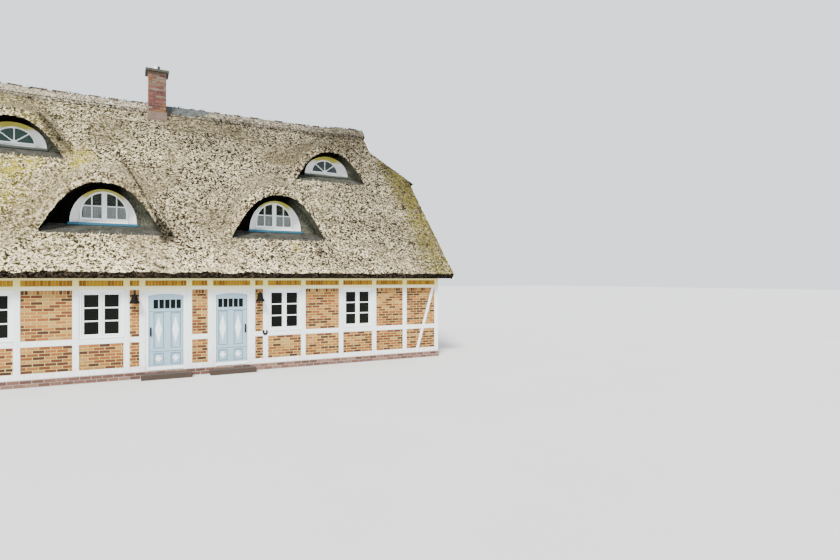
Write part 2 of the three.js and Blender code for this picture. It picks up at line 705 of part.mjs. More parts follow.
// White boards on the end of the thatch: along the lower verges, with a
// soffit back to the wall, and in a peak on each gablet
function buildBoards() {
  const verge = vergeX - boardThickness;
  const depthAt = (height, drop) => (height + drop - slopeHeight(0)) / roofSlope;
  const [boardTop, boardBottom] = [60, 500];
  const [boardFoot, footSpan] = [2560, 430];
  const boardEnd = 5980;
  const [soffitTop, soffitBottom] = [thatchRise + gap, 470];
  const [soffitFoot, soffitEnd] = [300, 5900];
  const [peakTop, peakBottom] = [30, 380];
  for (const [name, side] of sides) {
    const halves = [1, -1].map((facing) => {
      const line = (depth, drop) => [facing * (halfDepth - depth), slopeHeight(depth) - drop];
      const board = prismAlongX([
        line(-footSpan, boardTop), line(depthAt(boardEnd, boardTop), boardTop),
        line(depthAt(boardEnd, boardBottom), boardBottom), line(-130, boardBottom),
        [facing * (halfDepth + footSpan), boardFoot],
      ], [side * verge, side * vergeX]);
      const soffit = prismAlongX([
        line(soffitFoot, soffitTop), line(depthAt(soffitEnd, soffitTop), soffitTop),
        line(depthAt(soffitEnd, soffitBottom), soffitBottom), line(soffitFoot, soffitBottom),
      ], [side * (halfLength + gap), side * (verge + 10)]);
      return board.add(soffit);
    });
    const tieReach = halfDepth - depthAt(soffitEnd, 455);
    const tie = block(
      [side * (halfLength + gap), side * (vergeX - 100)], [-tieReach, tieReach], [5860, soffitEnd]);
    place(`${name}_verge_boards`, join([...halves, tie]), 'timber');
    const peak = (drop) => slopeHeight(halfDepth) - drop;
    const footHeight = hipHeight(gabletX) + 40;
    const reach = (drop) => halfDepth - depthAt(footHeight, drop);
    const gablet = prismAlongX([
      [-reach(peakTop), footHeight], [0, peak(peakTop)], [reach(peakTop), footHeight],
      [reach(peakBottom), footHeight], [0, peak(peakBottom)], [-reach(peakBottom), footHeight],
    ], [side * (gabletX + gap), side * (gabletX + 45)]);
    const panelClear = block([side * 6600, side * (gabletX + 20 + gap)],
      [-600, 600], [7000, undersideHeight(halfDepth)]);
    place(`${name}_gablet_boards`, gablet.subtract(panelClear), 'timber');
  }
}

// The cap of thatch that is laid over the ridge, rounded on top
function buildRidge() {
  const width = 300;
  const thick = 70;
  const roundWidth = 90;
  const pastGablet = 30;
  const top = slopeHeight(halfDepth);
  const drop = width * roofSlope;
  const cap = prismAlongX([
    [-width, top - drop + gap], [-width, top - drop + thick], [-roundWidth, top + 10], [0, top + 45],
    [roundWidth, top + 10], [width, top - drop + thick], [width, top - drop + gap], [0, top + gap],
  ], [-gabletX - pastGablet, gabletX + pastGablet]);
  const stack = chimneyColumn(gap);
  place('ridge_cap', cap.subtract(stack), 'thatch');
}

// A brick stack from the ground floor up to the roof, a head round the flue
// above it, a cap slab and a short collar
function buildChimney() {
  const overhang = 90;
  const slabThick = 75;
  const collarFoot = 70;
  const collarTop = 267;
  const collarHalf = 140;
  const flueHalf = 100;
  const headFoot = 8200;
  const chimneyY = chimneyFront + chimneyWidth / 2;
  const square = (half, height) =>
    block([chimneyX - half, chimneyX + half], [chimneyY - half, chimneyY + half], height);
  const flue = square(flueHalf, [headFoot, skyHeight]);
  place('chimney_stack', square(chimneyWidth / 2, [plinthTop + gap, headFoot]), 'chimney');
  const head = square(chimneyWidth / 2, [headFoot + gap, chimneyTop]);
  place('chimney_head', head.subtract(flue), 'chimney');
  const slab = square(chimneyWidth / 2 + overhang, [chimneyTop + gap, chimneyTop + slabThick]);
  const collar = square(collarHalf, [chimneyTop + collarFoot, chimneyTop + collarTop]);
  place('chimney_cap', slab.add(collar).subtract(flue), 'slab');
}

// Half-round dormer windows: a deep white lining, a middle bar, a sill board
// and a pane in a slot
function buildDormerWindows() {
  const paneLet = 20;
  for (const [storey, dormer] of [['lower', lowerDormer], ['upper', upperDormer]]) {
    const { windowHalf, windowRise, sill, backDepth, openingHalf, openingSill, openingRise } = dormer;
    const between = (from, to) => [fromFront(backDepth + from), fromFront(backDepth + to)];
    const lining = between(-20, 260);
    const glassPlane = between(215, 221);
    const whole = prismAlongY(archOutline(0, sill, windowHalf, windowRise), lining);
    const opening = prismAlongY(archOutline(0, openingSill, openingHalf, openingRise), [-farOut, farOut]);
    const bar = block([-40, 40], between(190, 250), [sill + 20, sill + windowRise - 60]).intersect(whole);
    const sillHalf = windowHalf + 40;
    const board = block([-sillHalf, sillHalf], [fromFront(backDepth - 90), lining[0] + 10],
      [sill - 28, sill + 12]);
    const paneSill = openingSill - paneLet;
    const slot = prismAlongY(
      archOutline(0, paneSill, openingHalf + paneLet, openingRise + paneLet), glassPlane);
    const pane = prismAlongY(
      archOutline(0, paneSill + gap, openingHalf + paneLet - gap, openingRise + paneLet - 2 * gap),
      [glassPlane[0] + gap, glassPlane[1] - gap]);
    const frame = join([whole.subtract(opening), bar, board]).subtract(slot);
    for (const [name, side] of sides) {
      const at = [side * dormer.x, 0, 0];
      place(`${name}_${storey}_dormer_window`, frame, 'timber', at);
      place(`${name}_${storey}_dormer_glass`, pane, 'glass', at);
    }
  }
}

// A black bell lamp beside each door, on an arm from a plate on the brick
function buildLamps() {
  const centre = (outerDoorPost + postCentres[2]) / 2;
  const brickFace = -halfDepth + brickRecess - gap;
  const bellFoot = 1970;
  const bellOut = 150;
  const profile = [[0, 0], [118, 0], [124, 16], [92, 62], [68, 120], [58, 190], [32, 245], [0, 262]];
  for (const [name, side] of sides) {
    const x = side * centre;
    const bell = new THREE.LatheGeometry(profile.map(([r, z]) => new THREE.Vector2(r, z)), 12);
    bell.rotateX(Math.PI / 2);
    bell.translate(x, -halfDepth - bellOut, bellFoot);
    const arm = block([x - 12, x + 12], [-halfDepth - bellOut, brickFace], [bellFoot + 150, bellFoot + 174]);
    const rose = block([x - 35, x + 35], [brickFace - 12, brickFace], [bellFoot + 100, bellFoot + 220]);
    place(`${name}_wall_lamp`, join([toSolid(bell), arm, rose]), 'iron');
  }
}

const gableFrames = Object.fromEntries(sides.map(([name, side]) => [
  name, { frame: gableBars(side), groove: gableBars(side, gap) },
]));

buildBase();
buildFloors();
buildFrontWalls(gableFrames);
buildBackWall(gableFrames);
buildGables(gableFrames);
buildFrontWindows();
buildDoors();
buildThatch();
buildBoards();
buildRidge();
buildChimney();
buildDormerWindows();
buildLamps();

export default cottage;
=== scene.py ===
"""A thatched, half-timbered double cottage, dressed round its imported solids.

Metres, +Z up, the front faces -Y, and the origin is on the ground under the
middle of the house. Depth is measured inwards from the face of a wall.
"""

import math
from collections import namedtuple

import bmesh
import bpy
import numpy as np
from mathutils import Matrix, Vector, noise


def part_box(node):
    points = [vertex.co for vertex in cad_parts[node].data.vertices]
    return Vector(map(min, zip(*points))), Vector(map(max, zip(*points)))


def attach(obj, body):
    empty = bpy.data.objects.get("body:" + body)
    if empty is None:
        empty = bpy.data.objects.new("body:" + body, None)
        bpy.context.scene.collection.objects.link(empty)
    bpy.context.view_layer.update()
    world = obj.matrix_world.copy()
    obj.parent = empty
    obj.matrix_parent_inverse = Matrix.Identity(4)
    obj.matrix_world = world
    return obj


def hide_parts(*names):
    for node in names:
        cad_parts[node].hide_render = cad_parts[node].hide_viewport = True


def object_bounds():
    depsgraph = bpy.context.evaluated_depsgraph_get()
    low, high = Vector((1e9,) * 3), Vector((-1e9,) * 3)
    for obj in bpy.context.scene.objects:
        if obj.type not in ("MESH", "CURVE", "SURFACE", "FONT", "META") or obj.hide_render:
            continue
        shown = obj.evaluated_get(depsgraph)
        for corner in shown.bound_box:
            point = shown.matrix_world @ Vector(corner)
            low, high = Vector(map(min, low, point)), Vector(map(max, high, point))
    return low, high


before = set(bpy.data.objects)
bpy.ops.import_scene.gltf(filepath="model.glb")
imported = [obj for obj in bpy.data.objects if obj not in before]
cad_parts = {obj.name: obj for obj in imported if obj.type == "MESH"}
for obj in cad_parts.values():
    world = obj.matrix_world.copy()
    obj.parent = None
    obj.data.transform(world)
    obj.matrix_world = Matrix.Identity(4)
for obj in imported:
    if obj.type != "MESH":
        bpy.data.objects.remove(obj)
cad_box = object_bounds()


# Camera
# It stands on the ground to the left of the doors, at the height of a raised
# arm, and looks level along the front towards the right-hand gable.
camera_data = bpy.data.cameras.new("view_along_front")
camera_data.sensor_width = 36.0
camera_data.lens = 23.08
camera_data.clip_end = 500.0
camera = bpy.data.objects.new("view_along_front", camera_data)
camera.location = (-1.662, -20.71, 2.594)
camera.rotation_euler = (math.radians(89.92), 0.0, math.radians(-28.23))
bpy.context.scene.collection.objects.link(camera)
bpy.context.scene.camera = camera


# Studio light and floor
# A broad soft key light high on the left, pale surroundings that fill the
# shadows, and a plain pale floor.
key_data = bpy.data.lights.new("key", "SUN")
key_data.energy = 7.4
key_data.angle = math.radians(14)
key_data.color = (1.0, 0.97, 0.92)
key = bpy.data.objects.new("key", key_data)
key.rotation_euler = Vector((-0.75, -1.0, 1.35)).to_track_quat("Z", "Y").to_euler()
bpy.context.scene.collection.objects.link(key)

world = bpy.data.worlds.new("soft_surroundings")
world.use_nodes = True
world.node_tree.nodes["Background"].inputs["Color"].default_value = (0.87, 0.93, 1.0, 1.0)
world.node_tree.nodes["Background"].inputs["Strength"].default_value = 1.7
bpy.context.scene.world = world


def feed(tree, socket, value):
    """Wires an output into a socket, or sets the socket to a plain value."""
    if isinstance(value, bpy.types.NodeSocket):
        tree.links.new(value, socket)
    else:
        socket.default_value = value


def opaque(colour):
    """A plain colour with full alpha, or an output as it is."""
    return (*colour, 1.0) if isinstance(colour, tuple) else colour


class Paintbox:
    """One material, with short ways to add the nodes that its finish needs."""

    def __init__(self, name, roughness, metallic=0.0):
        self.material = bpy.data.materials.new(name)
        self.material.use_nodes = True
        self.tree = self.material.node_tree
        self.shader = self.tree.nodes["Principled BSDF"]
        self.shader.inputs["Roughness"].default_value = roughness
        self.shader.inputs["Metallic"].default_value = metallic
        self.place = self.add("ShaderNodeTexCoord", "Object", {})

    def add(self, kind, output, inputs, **settings):
        """Adds a node, wires or sets its inputs, and returns one of its outputs."""
        made = self.tree.nodes.new(kind)
        for setting, value in settings.items():
            setattr(made, setting, value)
        for label, value in inputs.items():
            feed(self.tree, made.inputs[label], value)
        return made.outputs[output]

    def stretched(self, scale):
        return self.add("ShaderNodeMapping", "Vector", {"Scale": scale, "Vector": self.place})

    def grain(self, scale, detail=4.0, roughness=0.6, where=None):
        return self.add("ShaderNodeTexNoise", "Fac", {
            "Scale": scale, "Detail": detail, "Roughness": roughness, "Vector": where or self.place})

    def span(self, value, low, high, out_low=0.0, out_high=1.0):
        return self.add("ShaderNodeMapRange", "Result", {
            "Value": value, "From Min": low, "From Max": high, "To Min": out_low, "To Max": out_high})

    def times(self, first, second):
        return self.add("ShaderNodeMath", "Value", {0: first, 1: second}, operation="MULTIPLY")

    def plus(self, first, second):
        return self.add("ShaderNodeMath", "Value", {0: first, 1: second}, operation="ADD")

    def mixed(self, first, second, share=0.6):
        """Two grains together, the first with the share that is given."""
        return self.plus(self.times(first, share), self.times(second, 1 - share))

    def ramp(self, value, *stops):
        made = self.tree.nodes.new("ShaderNodeValToRGB")
        row = made.color_ramp.elements
        while len(row) < len(stops):
            row.new(0.5)
        for element, (position, colour) in zip(row, stops):
            element.position = position
            element.color = opaque(colour)
        feed(self.tree, made.inputs["Fac"], value)
        return made.outputs["Color"]

    def blend(self, share, first, second, how="MIX"):
        return self.add("ShaderNodeMix", 2, {0: share, 6: opaque(first), 7: opaque(second)},
                        data_type="RGBA", blend_type=how)

    def shaded(self, colour, share):
        """The colour, darker where the share is below 1."""
        return self.blend(1.0, colour, self.ramp(share, (0.0, (0, 0, 0)), (1.0, (1, 1, 1))), "MULTIPLY")

    def attribute(self, name):
        return self.add("ShaderNodeAttribute", "Fac", {}, attribute_name=name)

    def axis(self, letter):
        return self.add("ShaderNodeSeparateXYZ", letter, {"Vector": self.place})

    def facing(self, letter):
        normal = self.add("ShaderNodeNewGeometry", "True Normal", {})
        return self.add("ShaderNodeSeparateXYZ", letter, {"Vector": normal})

    def finish(self, colour, height=None, distance=0.01, strength=1.0):
        feed(self.tree, self.shader.inputs["Base Color"], opaque(colour))
        if height is not None:
            bumped = self.add("ShaderNodeBump", "Normal", {
                "Distance": distance, "Strength": strength, "Height": height})
            feed(self.tree, self.shader.inputs["Normal"], bumped)
        return self.material

    def two_tone(self, grain, dark, light, distance):
        """The finish of a surface whose grain runs from a dark to a light colour."""
        return self.finish(self.ramp(grain, dark, light), grain, distance)


def link(obj):
    bpy.context.scene.collection.objects.link(obj)
    return obj


floor_half, floor_level = 150.0, -0.002
floor_mesh = bpy.data.meshes.new("studio_floor")
floor_mesh.from_pydata([(x * floor_half, y * floor_half, floor_level)
                        for x, y in ((-1, -1), (1, -1), (1, 1), (-1, 1))], [], [(0, 1, 2, 3)])
floor_box = Paintbox("studio_floor", 0.9)
floor_mesh.materials.append(floor_box.finish(
    floor_box.ramp(floor_box.grain(0.4), (0.3, (0.60, 0.60, 0.59)), (0.7, (0.63, 0.63, 0.62)))))
link(bpy.data.objects.new("studio_floor", floor_mesh))


# Front thatch
# One thick coat of reed on the front slope, swept up into four eyebrow hoods.
# It is laid in bundles from the eave up, dressed to an even coat, and cut
# square at the eave and round the hoods.
half_length = 7.51
half_depth = 4.92
wall_thickness = 0.26
roof_slope = 1.082
eave_overhang = 0.5
eave_height = 2.768
wall_top = 2.62
coat_rise = 0.44
verge_x = 7.8397
gablet_x = 6.7
hip_eave_x = 8.0
hip_eave_height = 6.27
hip_slope = 1.0355
sides = (("right", 1), ("left", -1))
hoods = {
    "lower": dict(x=2.3, lip=0.5, half=1.39, rise=1.274, thick=0.25, back=1.07, sill=4.09,
                  window_half=0.785, window_rise=0.93),
    "upper": dict(x=4.6, lip=2.56, half=1.25, rise=1.021, thick=0.23, back=3.06, sill=6.345,
                  window_half=0.8, window_rise=0.69),
}
hood_fall = 0.36
lip_drop, lip_roll = 0.06, 0.17
crease_width = 0.07
# A shallow seam in the coat beside the left lower hood, as (x, depth) points.
seam_line = ((-2.08, 2.85), (-1.78, 2.43), (-1.56, 1.30))
seam_depth, seam_reach = 0.035, 0.10


def slope_height(depth):
    """The height of the main slopes at a depth behind the wall's face."""
    return eave_height + (depth + eave_overhang) * roof_slope


def depth_at(height):
    """How deep behind the wall's face the slope reaches a height."""
    return (height - slope_height(0)) / roof_slope


def hip_height(x):
    """The height of the half-hips at a distance from the middle of the house."""
    return hip_eave_height + (hip_eave_x - x) * hip_slope


def arching(share):
    """The arch of a hood: 1 in its middle, and nought at its feet and past them."""
    return np.clip(1 - np.abs(share) ** 2.4, 0, None) ** 1.1


def soft_top(first, second, width):
    """The higher of two heights, with the crease between them rounded."""
    gap = np.abs(first - second)
    return np.maximum(first, second) + np.clip(width - gap, 0, None) ** 2 / (4 * width)


def uneven(points, scale, seed):
    """Smooth noise about nought, one value a point."""
    shift = Vector((seed * 7.3, seed * 3.1, seed * 5.7))
    return np.array([noise.noise(Vector(point) * scale + shift) for point in points])


def near(value, reach):
    """1 at nought, falling smoothly to nothing at a distance."""
    return np.clip(1 - np.abs(value) / reach, 0, 1) ** 1.5


def from_line(x, y, line):
    """How far each point lies from a line of points."""
    nearest = np.full(np.shape(x), 99.0)
    for (x0, y0), (x1, y1) in zip(line, line[1:]):
        run = np.array([x1 - x0, y1 - y0])
        share = np.clip(((x - x0) * run[0] + (y - y0) * run[1]) / (run @ run), 0, 1)
        nearest = np.minimum(nearest, np.hypot(x - x0 - share * run[0], y - y0 - share * run[1]))
    return nearest


def hood_back(hood, side, x, depth):
    """How far across a hood each point lies, and how high the hood's back is there."""
    spread = (x - side * hood["x"]) / (hood["half"] + 1.2 * hood["thick"])
    rise = (hood["rise"] + hood["thick"] + lip_drop) * arching(spread)
    fall = np.clip(depth - hood["lip"], 0, None) * hood_fall
    return spread, slope_height(hood["lip"]) - lip_drop + rise + fall


def front_surface(x, depth):
    """The front slope with its four hoods and the seam, at each x and depth."""
    height = slope_height(depth)
    for hood in hoods.values():
        for _, side in sides:
            crown = hood_back(hood, side, x, depth)[1]
            turn = np.clip((depth - hood["lip"] + lip_drop) / lip_roll, 0, 1)
            rounding = np.sqrt(np.clip(1 - (1 - turn) ** 2, 0, 1))
            over = np.where(turn > 0, slope_height(depth) + (crown - slope_height(depth)) * rounding, -9.0)
            height = soft_top(height, over, crease_width)
    return height - seam_depth * near(from_line(x, depth, seam_line), seam_reach)


def reed_paint(name, light, middle, dark, moss=None):
    """Weathered reed: pale strands over grey-beige ends, smoother in some patches, with painted shade in
    small holes.
    """
    box = Paintbox(name, 1.0)
    box.shader.inputs["Specular IOR Level"].default_value = 0.1
    bend = box.grain(11.0, 2.0, 0.6)
    strand = box.times(box.span(bend, 0.36, 0.5), box.span(bend, 0.64, 0.5))
    fleck = box.grain(16.0, 2.0, 0.6)
    fine = box.grain(44.0, 2.0, 0.7)
    coarse = box.grain(8.5, 2.0, 0.6)
    ends = box.plus(box.times(fleck, 0.50), box.plus(box.times(fine, 0.12), box.times(coarse, 0.18)))
    mixed = box.plus(ends, box.times(strand, 0.2))
    contrast = box.times(box.span(box.grain(0.55, 3.0, 0.6), 0.36, 0.60, 3.2, 6.0),
                         box.span(box.attribute("smooth"), 0.0, 1.0, 1.0, 0.45))
    from_middle = box.times(box.plus(mixed, -0.5), contrast)
    # Each bundle has a random tone of its own; the coat between the bundles has none and takes the darkest
    # tone, a painted shade in the gaps.
    tone = box.span(box.attribute("tone"), 0.25, 1.0, -0.10, 0.10)
    if moss:
        tone = box.plus(tone, box.span(box.attribute("lightness_and_painted_shade"), 1.0, 1.3, 0.0, 0.13))
    pale, bright = (tuple(share * part for part in light) for share in (0.82, 1.2))
    colour = box.ramp(box.plus(box.plus(from_middle, 0.5), tone),
                      (0.32, dark), (0.50, middle), (0.70, pale), (1.0, bright))
    colour = box.blend(box.times(box.attribute("smooth"), 0.4), colour, middle)
    # Painted shade: small dark holes in the reed, placed by noise.
    painted_pit_shade = box.span(box.grain(8.0, 1.0, 0.5), 0.64, 0.69, 1.0, 0.12)
    clouds = box.times(box.span(box.grain(0.9, 3.0, 0.6), 0.3, 0.7, 0.82, 1.08),
                       box.span(box.grain(3.6, 2.0, 0.6), 0.35, 0.65, 0.88, 1.08))
    colour = box.shaded(colour, box.times(box.times(painted_pit_shade, clouds), box.attribute("lightness_and_painted_shade")))
    if moss:
        spots = box.times(box.attribute("moss"), box.span(box.grain(5.0, 4.0, 0.65), 0.38, 0.54, 0.0, 1.0))
        colour = box.blend(spots, colour, moss)
    return box.finish(colour, mixed, 0.025, 0.9)


thatch_paint = reed_paint("weathered_reed", (0.82, 0.72, 0.49), (0.34, 0.275, 0.155), (0.030, 0.022, 0.012),
                          moss=(0.38, 0.325, 0.025))
# The cut reed ends at the eave and the soffit under them are painted near black, as painted shade.
shaded_cut_paint = reed_paint("cut_reed_ends", (0.075, 0.055, 0.035), (0.02, 0.014, 0.009), (0.004, 0.003, 0.002))
soffit_paint = reed_paint(
    "shaded_soffit_reed", (0.13, 0.10, 0.065), (0.055, 0.042, 0.027), (0.012, 0.009, 0.006))
coat_paints = (thatch_paint, shaded_cut_paint, soffit_paint)
on_slope, on_cut, on_soffit = range(3)


def niche_paint(name, middle):
    """Reed in a dormer's niche, painted near black above and on the left as shade, and lit grey-green on the
    right.
    """
    box = Paintbox(name, 1.0)
    box.shader.inputs["Specular IOR Level"].default_value = 0.05
    grain = box.mixed(box.grain(24.0, 3.0, 0.7), box.grain(4.0))
    painted_shade_overhead = box.ramp(grain, (0.35, (0.0003, 0.0002, 0.0002)), (0.65, (0.004, 0.0035, 0.0025)))
    sunned = box.ramp(grain, (0.36, (0.02, 0.021, 0.014)), (0.64, (0.20, 0.20, 0.145)))
    level = box.ramp(grain, (0.36, (0.012, 0.012, 0.010)), (0.64, (0.095, 0.094, 0.078)))
    # Painted light and shade: by x, the left cheeks are painted near black and the right cheeks painted as
    # sunlit.
    upright = box.blend(box.span(box.axis("X"), middle + 0.35, middle + 0.9), painted_shade_overhead, sunned)
    return box.finish(box.blend(box.span(box.facing("Z"), 0.2, 0.6), upright, level), grain, 0.03)


# Each patch of moss is an x, a depth, its reach and its strength.
moss_spots = ((-2.9, 2.55, 0.55, 1.0), (-3.05, 2.1, 0.4, 0.7), (-4.5, 2.1, 0.6, 0.9), (-4.1, 2.3, 0.5, 0.6),
              (-5.0, 4.2, 0.35, 0.5), (-4.45, 1.35, 0.6, 0.5), (2.7, 0.25, 0.25, 0.7), (-5.6, 3.6, 0.7, 0.5))
# How dark the painted shade is in the crease at the right-hand foot of each hood, and, for the
# two flanks beside the left hoods that are painted dark as shade, the (x, height) line, which
# widens near its foot.
painted_crease_shade = {("lower", -1): 0.22, ("lower", 1): 0.14, ("upper", -1): 0.30, ("upper", 1): 0.16}
painted_shade_flanks = (
    dict(line=((-2.035, 6.39), (-1.778, 5.97), (-1.509, 5.21), (-1.314, 4.77), (-1.145, 4.51), (-0.966, 4.16),
               (-0.79, 3.80)), widens_below=4.4, reach=0.045, widening=0.26, strength=1.2),
    dict(line=((-4.02, 7.42), (-3.80, 7.12), (-3.57, 6.70), (-3.36, 6.27)),
         widens_below=7.4, reach=0.07, widening=0.15, strength=0.6))
ridge_width = 0.30
sag, level_beyond, sag_run = 0.10, 6.2, 1.8
sag_foot, sag_height = 7.5, 1.1


def points_of(mesh):
    """A mesh's points, as rows of x, y and z."""
    points = np.zeros(len(mesh.vertices) * 3)
    mesh.vertices.foreach_get("co", points)
    return points.reshape(-1, 3)


def moved(mesh, points):
    """The mesh, with its points in new places."""
    mesh.vertices.foreach_set("co", points.ravel())
    mesh.update()
    return mesh


def store(mesh, name, values):
    """Keeps a number with each point of a mesh, for its paint to read."""
    mesh.attributes.new(name, "FLOAT", "POINT").data.foreach_set("value", values)


def settled(mesh):
    """Lowers the top of the roof a little between the gables, as old rafters do."""
    points = points_of(mesh)
    along = np.clip((level_beyond - np.abs(points[:, 0])) / sag_run, 0, 1)
    upward = np.clip((points[:, 2] - sag_foot) / sag_height, 0, 1)
    points[:, 2] -= sag * along * along * (3 - 2 * along) * upward
    return moved(mesh, points)


def weathered(mesh, fronted=False):
    """Stores on a coat its lightness with painted shade and highlights, where moss grows and where it lies
    smooth.
    """
    points = points_of(mesh)
    x, y, z = points.T
    depth = half_depth - np.abs(y)
    at_hip = np.clip((np.abs(x) - gablet_x) / 0.5, 0, 1)
    at_eave = near(depth + eave_overhang, 1.1)
    # A painted shadow on the coat just under the edge of the ridge cap.
    ridge_cap_shadow = near(depth - half_depth + ridge_width + 0.015, 0.03)
    lightness_and_painted_shade = 0.84 - 0.040 * x - 0.16 * np.clip(z - 5.8, 0, 1.6) - 0.27 * at_hip
    lightness_and_painted_shade += (0.28 + 0.30 * np.clip((4.4 - x) / 1.5, 0, 1)) * at_eave - 0.45 * ridge_cap_shadow
    lightness_and_painted_shade += 0.12 * uneven(points, 0.55, 51) + 0.04 * np.sin(depth * 9.0 + 2.2 * uneven(points, 0.9, 53))
    moss = 0.07 * np.clip(-x / 5 - 0.1, 0, 1) + 0.19 * at_hip
    smooth = np.clip(2.4 * uneven(points, 0.7, 57) - 0.1, 0, 0.6)
    if fronted:
        lightness_and_painted_shade -= 0.14 * near(np.hypot(x / 1.6, depth - 4.1), 1.4)
        lightness_and_painted_shade -= 0.10 * near(np.hypot(x - 5.9, depth - 2.6), 1.3)
        # Painted shade on the shaded flanks beside the left hoods.
        for flank in painted_shade_flanks:
            reach = flank["reach"] + flank["widening"] * np.clip((flank["widens_below"] - z) / 0.8, 0, 1)
            lightness_and_painted_shade -= flank["strength"] * np.clip(1.7 * (1 - from_line(x, z, flank["line"]) / reach), 0, 1)
        for storey, hood in hoods.items():
            for _, side in sides:
                spread, crown = hood_back(hood, side, x, depth)
                right_foot = (depth > hood["lip"] - 0.02) & (spread > 0.25) & (spread < 1.02)
                # Painted shade in the crease at each hood's right-hand foot.
                crease = painted_crease_shade[storey, side] * near(crown - slope_height(depth), 0.14)
                lightness_and_painted_shade -= np.where(right_foot, crease, 0)
                # A painted highlight along the lip of each hood.
                lightness_and_painted_shade += np.where(np.abs(spread) < 1, 0.20 * near(depth - hood["lip"] + 0.02, 0.16), 0)
                behind = near(spread, 1.5) * near(depth - hood["lip"] - 0.6, 0.9)
                smooth += (0.9 if side > 0 else 0.4) * behind
        for spot_x, spot_depth, reach, strength in moss_spots:
            moss += strength * near(np.hypot(x - spot_x, depth - spot_depth), reach)
    store(mesh, "lightness_and_painted_shade", np.clip(lightness_and_painted_shade, 0.12, 1.4))
    store(mesh, "moss", np.clip(moss, 0, 1))
    store(mesh, "smooth", np.clip(smooth, 0, 1))
    return mesh


def solid_mesh(name, points, faces, paints=(), kinds=None):
    """A mesh from points and faces. kinds gives the number of each face's paint."""
    mesh = bpy.data.meshes.new(name)
    mesh.from_pydata([tuple(point) for point in points], [], faces)
    for paint in paints:
        mesh.materials.append(paint)
    if kinds is not None:
        mesh.polygons.foreach_set("material_index", kinds)
    mesh.update()
    return mesh


def facing_out(mesh):
    """Turns every face of a closed mesh outwards."""
    work = bmesh.new()
    work.from_mesh(mesh)
    bmesh.ops.recalc_face_normals(work, faces=work.faces)
    work.to_mesh(mesh)
    work.free()
    return mesh


def numbered_rows(count, length, first=0):
    """The numbers of points that were made row by row."""
    return [list(range(start, start + length)) for start in range(first, first + count * length, length)]


def strip(low, high, closed=False):
    """The faces between two rows of point numbers that run side by side."""
    pairs = list(zip(low, high))
    following = pairs[1:] + (pairs[:1] if closed else [])
    return [(a, b, over_b, over_a) for (a, over_a), (b, over_b) in zip(pairs, following)]


def of_kind(kind, faces):
    return [(face, kind) for face in faces]


def coat_mesh(name, points, faces):
    """A coat's mesh, from its points and from pairs of a face and its kind."""
    return solid_mesh(name, points, [face for face, _ in faces], coat_paints, [kind for _, kind in faces])


def coat_of_reed(name, xs, rows, surface, profile):
    """A closed coat: a surface over a grid, and a square-cut profile underneath.

    rows are the depths of the grid and profile the (depth, height) points from
    the foot of the eave face, under the coat, up to the ridge.
    """
    grid_x, grid_depth = np.meshgrid(xs, rows)
    top = np.stack([grid_x, grid_depth, surface(grid_x, grid_depth)], -1).reshape(-1, 3)
    under = np.array([[x, depth, z] for depth, z in profile for x in xs])
    above = numbered_rows(len(rows), len(xs))
    below = numbered_rows(len(profile), len(xs), len(top))
    faces = []
    for low, high in zip(above, above[1:]):
        faces += of_kind(on_slope, strip(low, high))
    faces += of_kind(on_cut, strip(below[0], above[0]))
    for low, high in zip(below, below[1:]):
        faces += of_kind(on_soffit, strip(high, low))
    faces += of_kind(on_soffit, strip(above[-1], below[-1]))
    faces += of_kind(on_soffit, [tuple(row[end] for row in below + above[::-1]) for end in (0, -1)])
    return coat_mesh(name, np.concatenate([top, under]), faces)


def swept(outline, start, end):
    """Points and faces of a closed prism: an outline carried from one offset to another."""
    near_row, far_row = numbered_rows(2, len(outline))
    points = [tuple(np.add(point, offset)) for offset in (start, end) for point in outline]
    return points, [tuple(near_row), tuple(far_row[::-1])] + strip(near_row, far_row, closed=True)


def prism(outline, start, end):
    return facing_out(solid_mesh("prism", *swept(outline, start, end)))


def carve(mesh, cutters, operation="DIFFERENCE"):
    """Cuts each closed cutter out of a closed mesh, and removes the cutters."""
    body = link(bpy.data.objects.new("carved", mesh))
    for cutter in cutters:
        tool = link(bpy.data.objects.new("tool", cutter))
        cutting = body.modifiers.new("cut", "BOOLEAN")
        cutting.operation = operation
        cutting.solver = "MANIFOLD"
        cutting.object = tool
        cutting.material_mode = "TRANSFER"
    graph = bpy.context.evaluated_depsgraph_get()
    result = bpy.data.meshes.new_from_object(body.evaluated_get(graph))
    for leftover in [m.object for m in body.modifiers] + [body]:
        bpy.data.objects.remove(leftover)
    return result


def painted(mesh, paint):
    mesh.materials.clear()
    mesh.materials.append(paint)
    return mesh


def niche_cutter(hood, side):
    """The hollow in front of a dormer window: an arch, over a floor that rises to the sill."""
    foot, middle = slope_height(hood["lip"]), side * hood["x"]
    arch = []
    for share in np.sin(np.linspace(-0.5, 0.5, 91) * math.pi):
        ragged = 0.022 * noise.noise(Vector((share * 16.0, side * 3.0, foot))) * (1 - abs(share) ** 8)
        arch.append((middle + share * (hood["half"] + ragged), 0,
                     foot + (hood["rise"] + 1.6 * ragged) * float(arching(share))))
    front, back = hood["lip"] - 0.2 - half_depth, hood["back"] - half_depth
    low, high = foot - 0.6, foot + 3
    outline = [(arch[0][0], 0, low)] + arch + [(arch[-1][0], 0, low)]
    vault = prism(outline, (0, front, 0), (0, back, 0))
    over_floor = [(0, front - 0.1, foot - 0.14 - 0.05), (0, back + 0.1, hood["sill"] - 0.03 + 0.05),
                  (0, back + 0.1, high), (0, front - 0.1, high)]
    keep = prism(over_floor, (middle - 3, 0, 0), (middle + 3, 0, 0))
    return painted(carve(vault, [keep], "INTERSECT"), niche_paint(f"niche_reed_{middle}", middle))


def half_round(x, bottom, half, rise, count=32):
    """The outline of an arch on a level foot, in x and z."""
    angles = np.linspace(0, math.pi, count + 1)
    return [(x + half * math.cos(a), 0, bottom + rise * math.sin(a)) for a in angles]


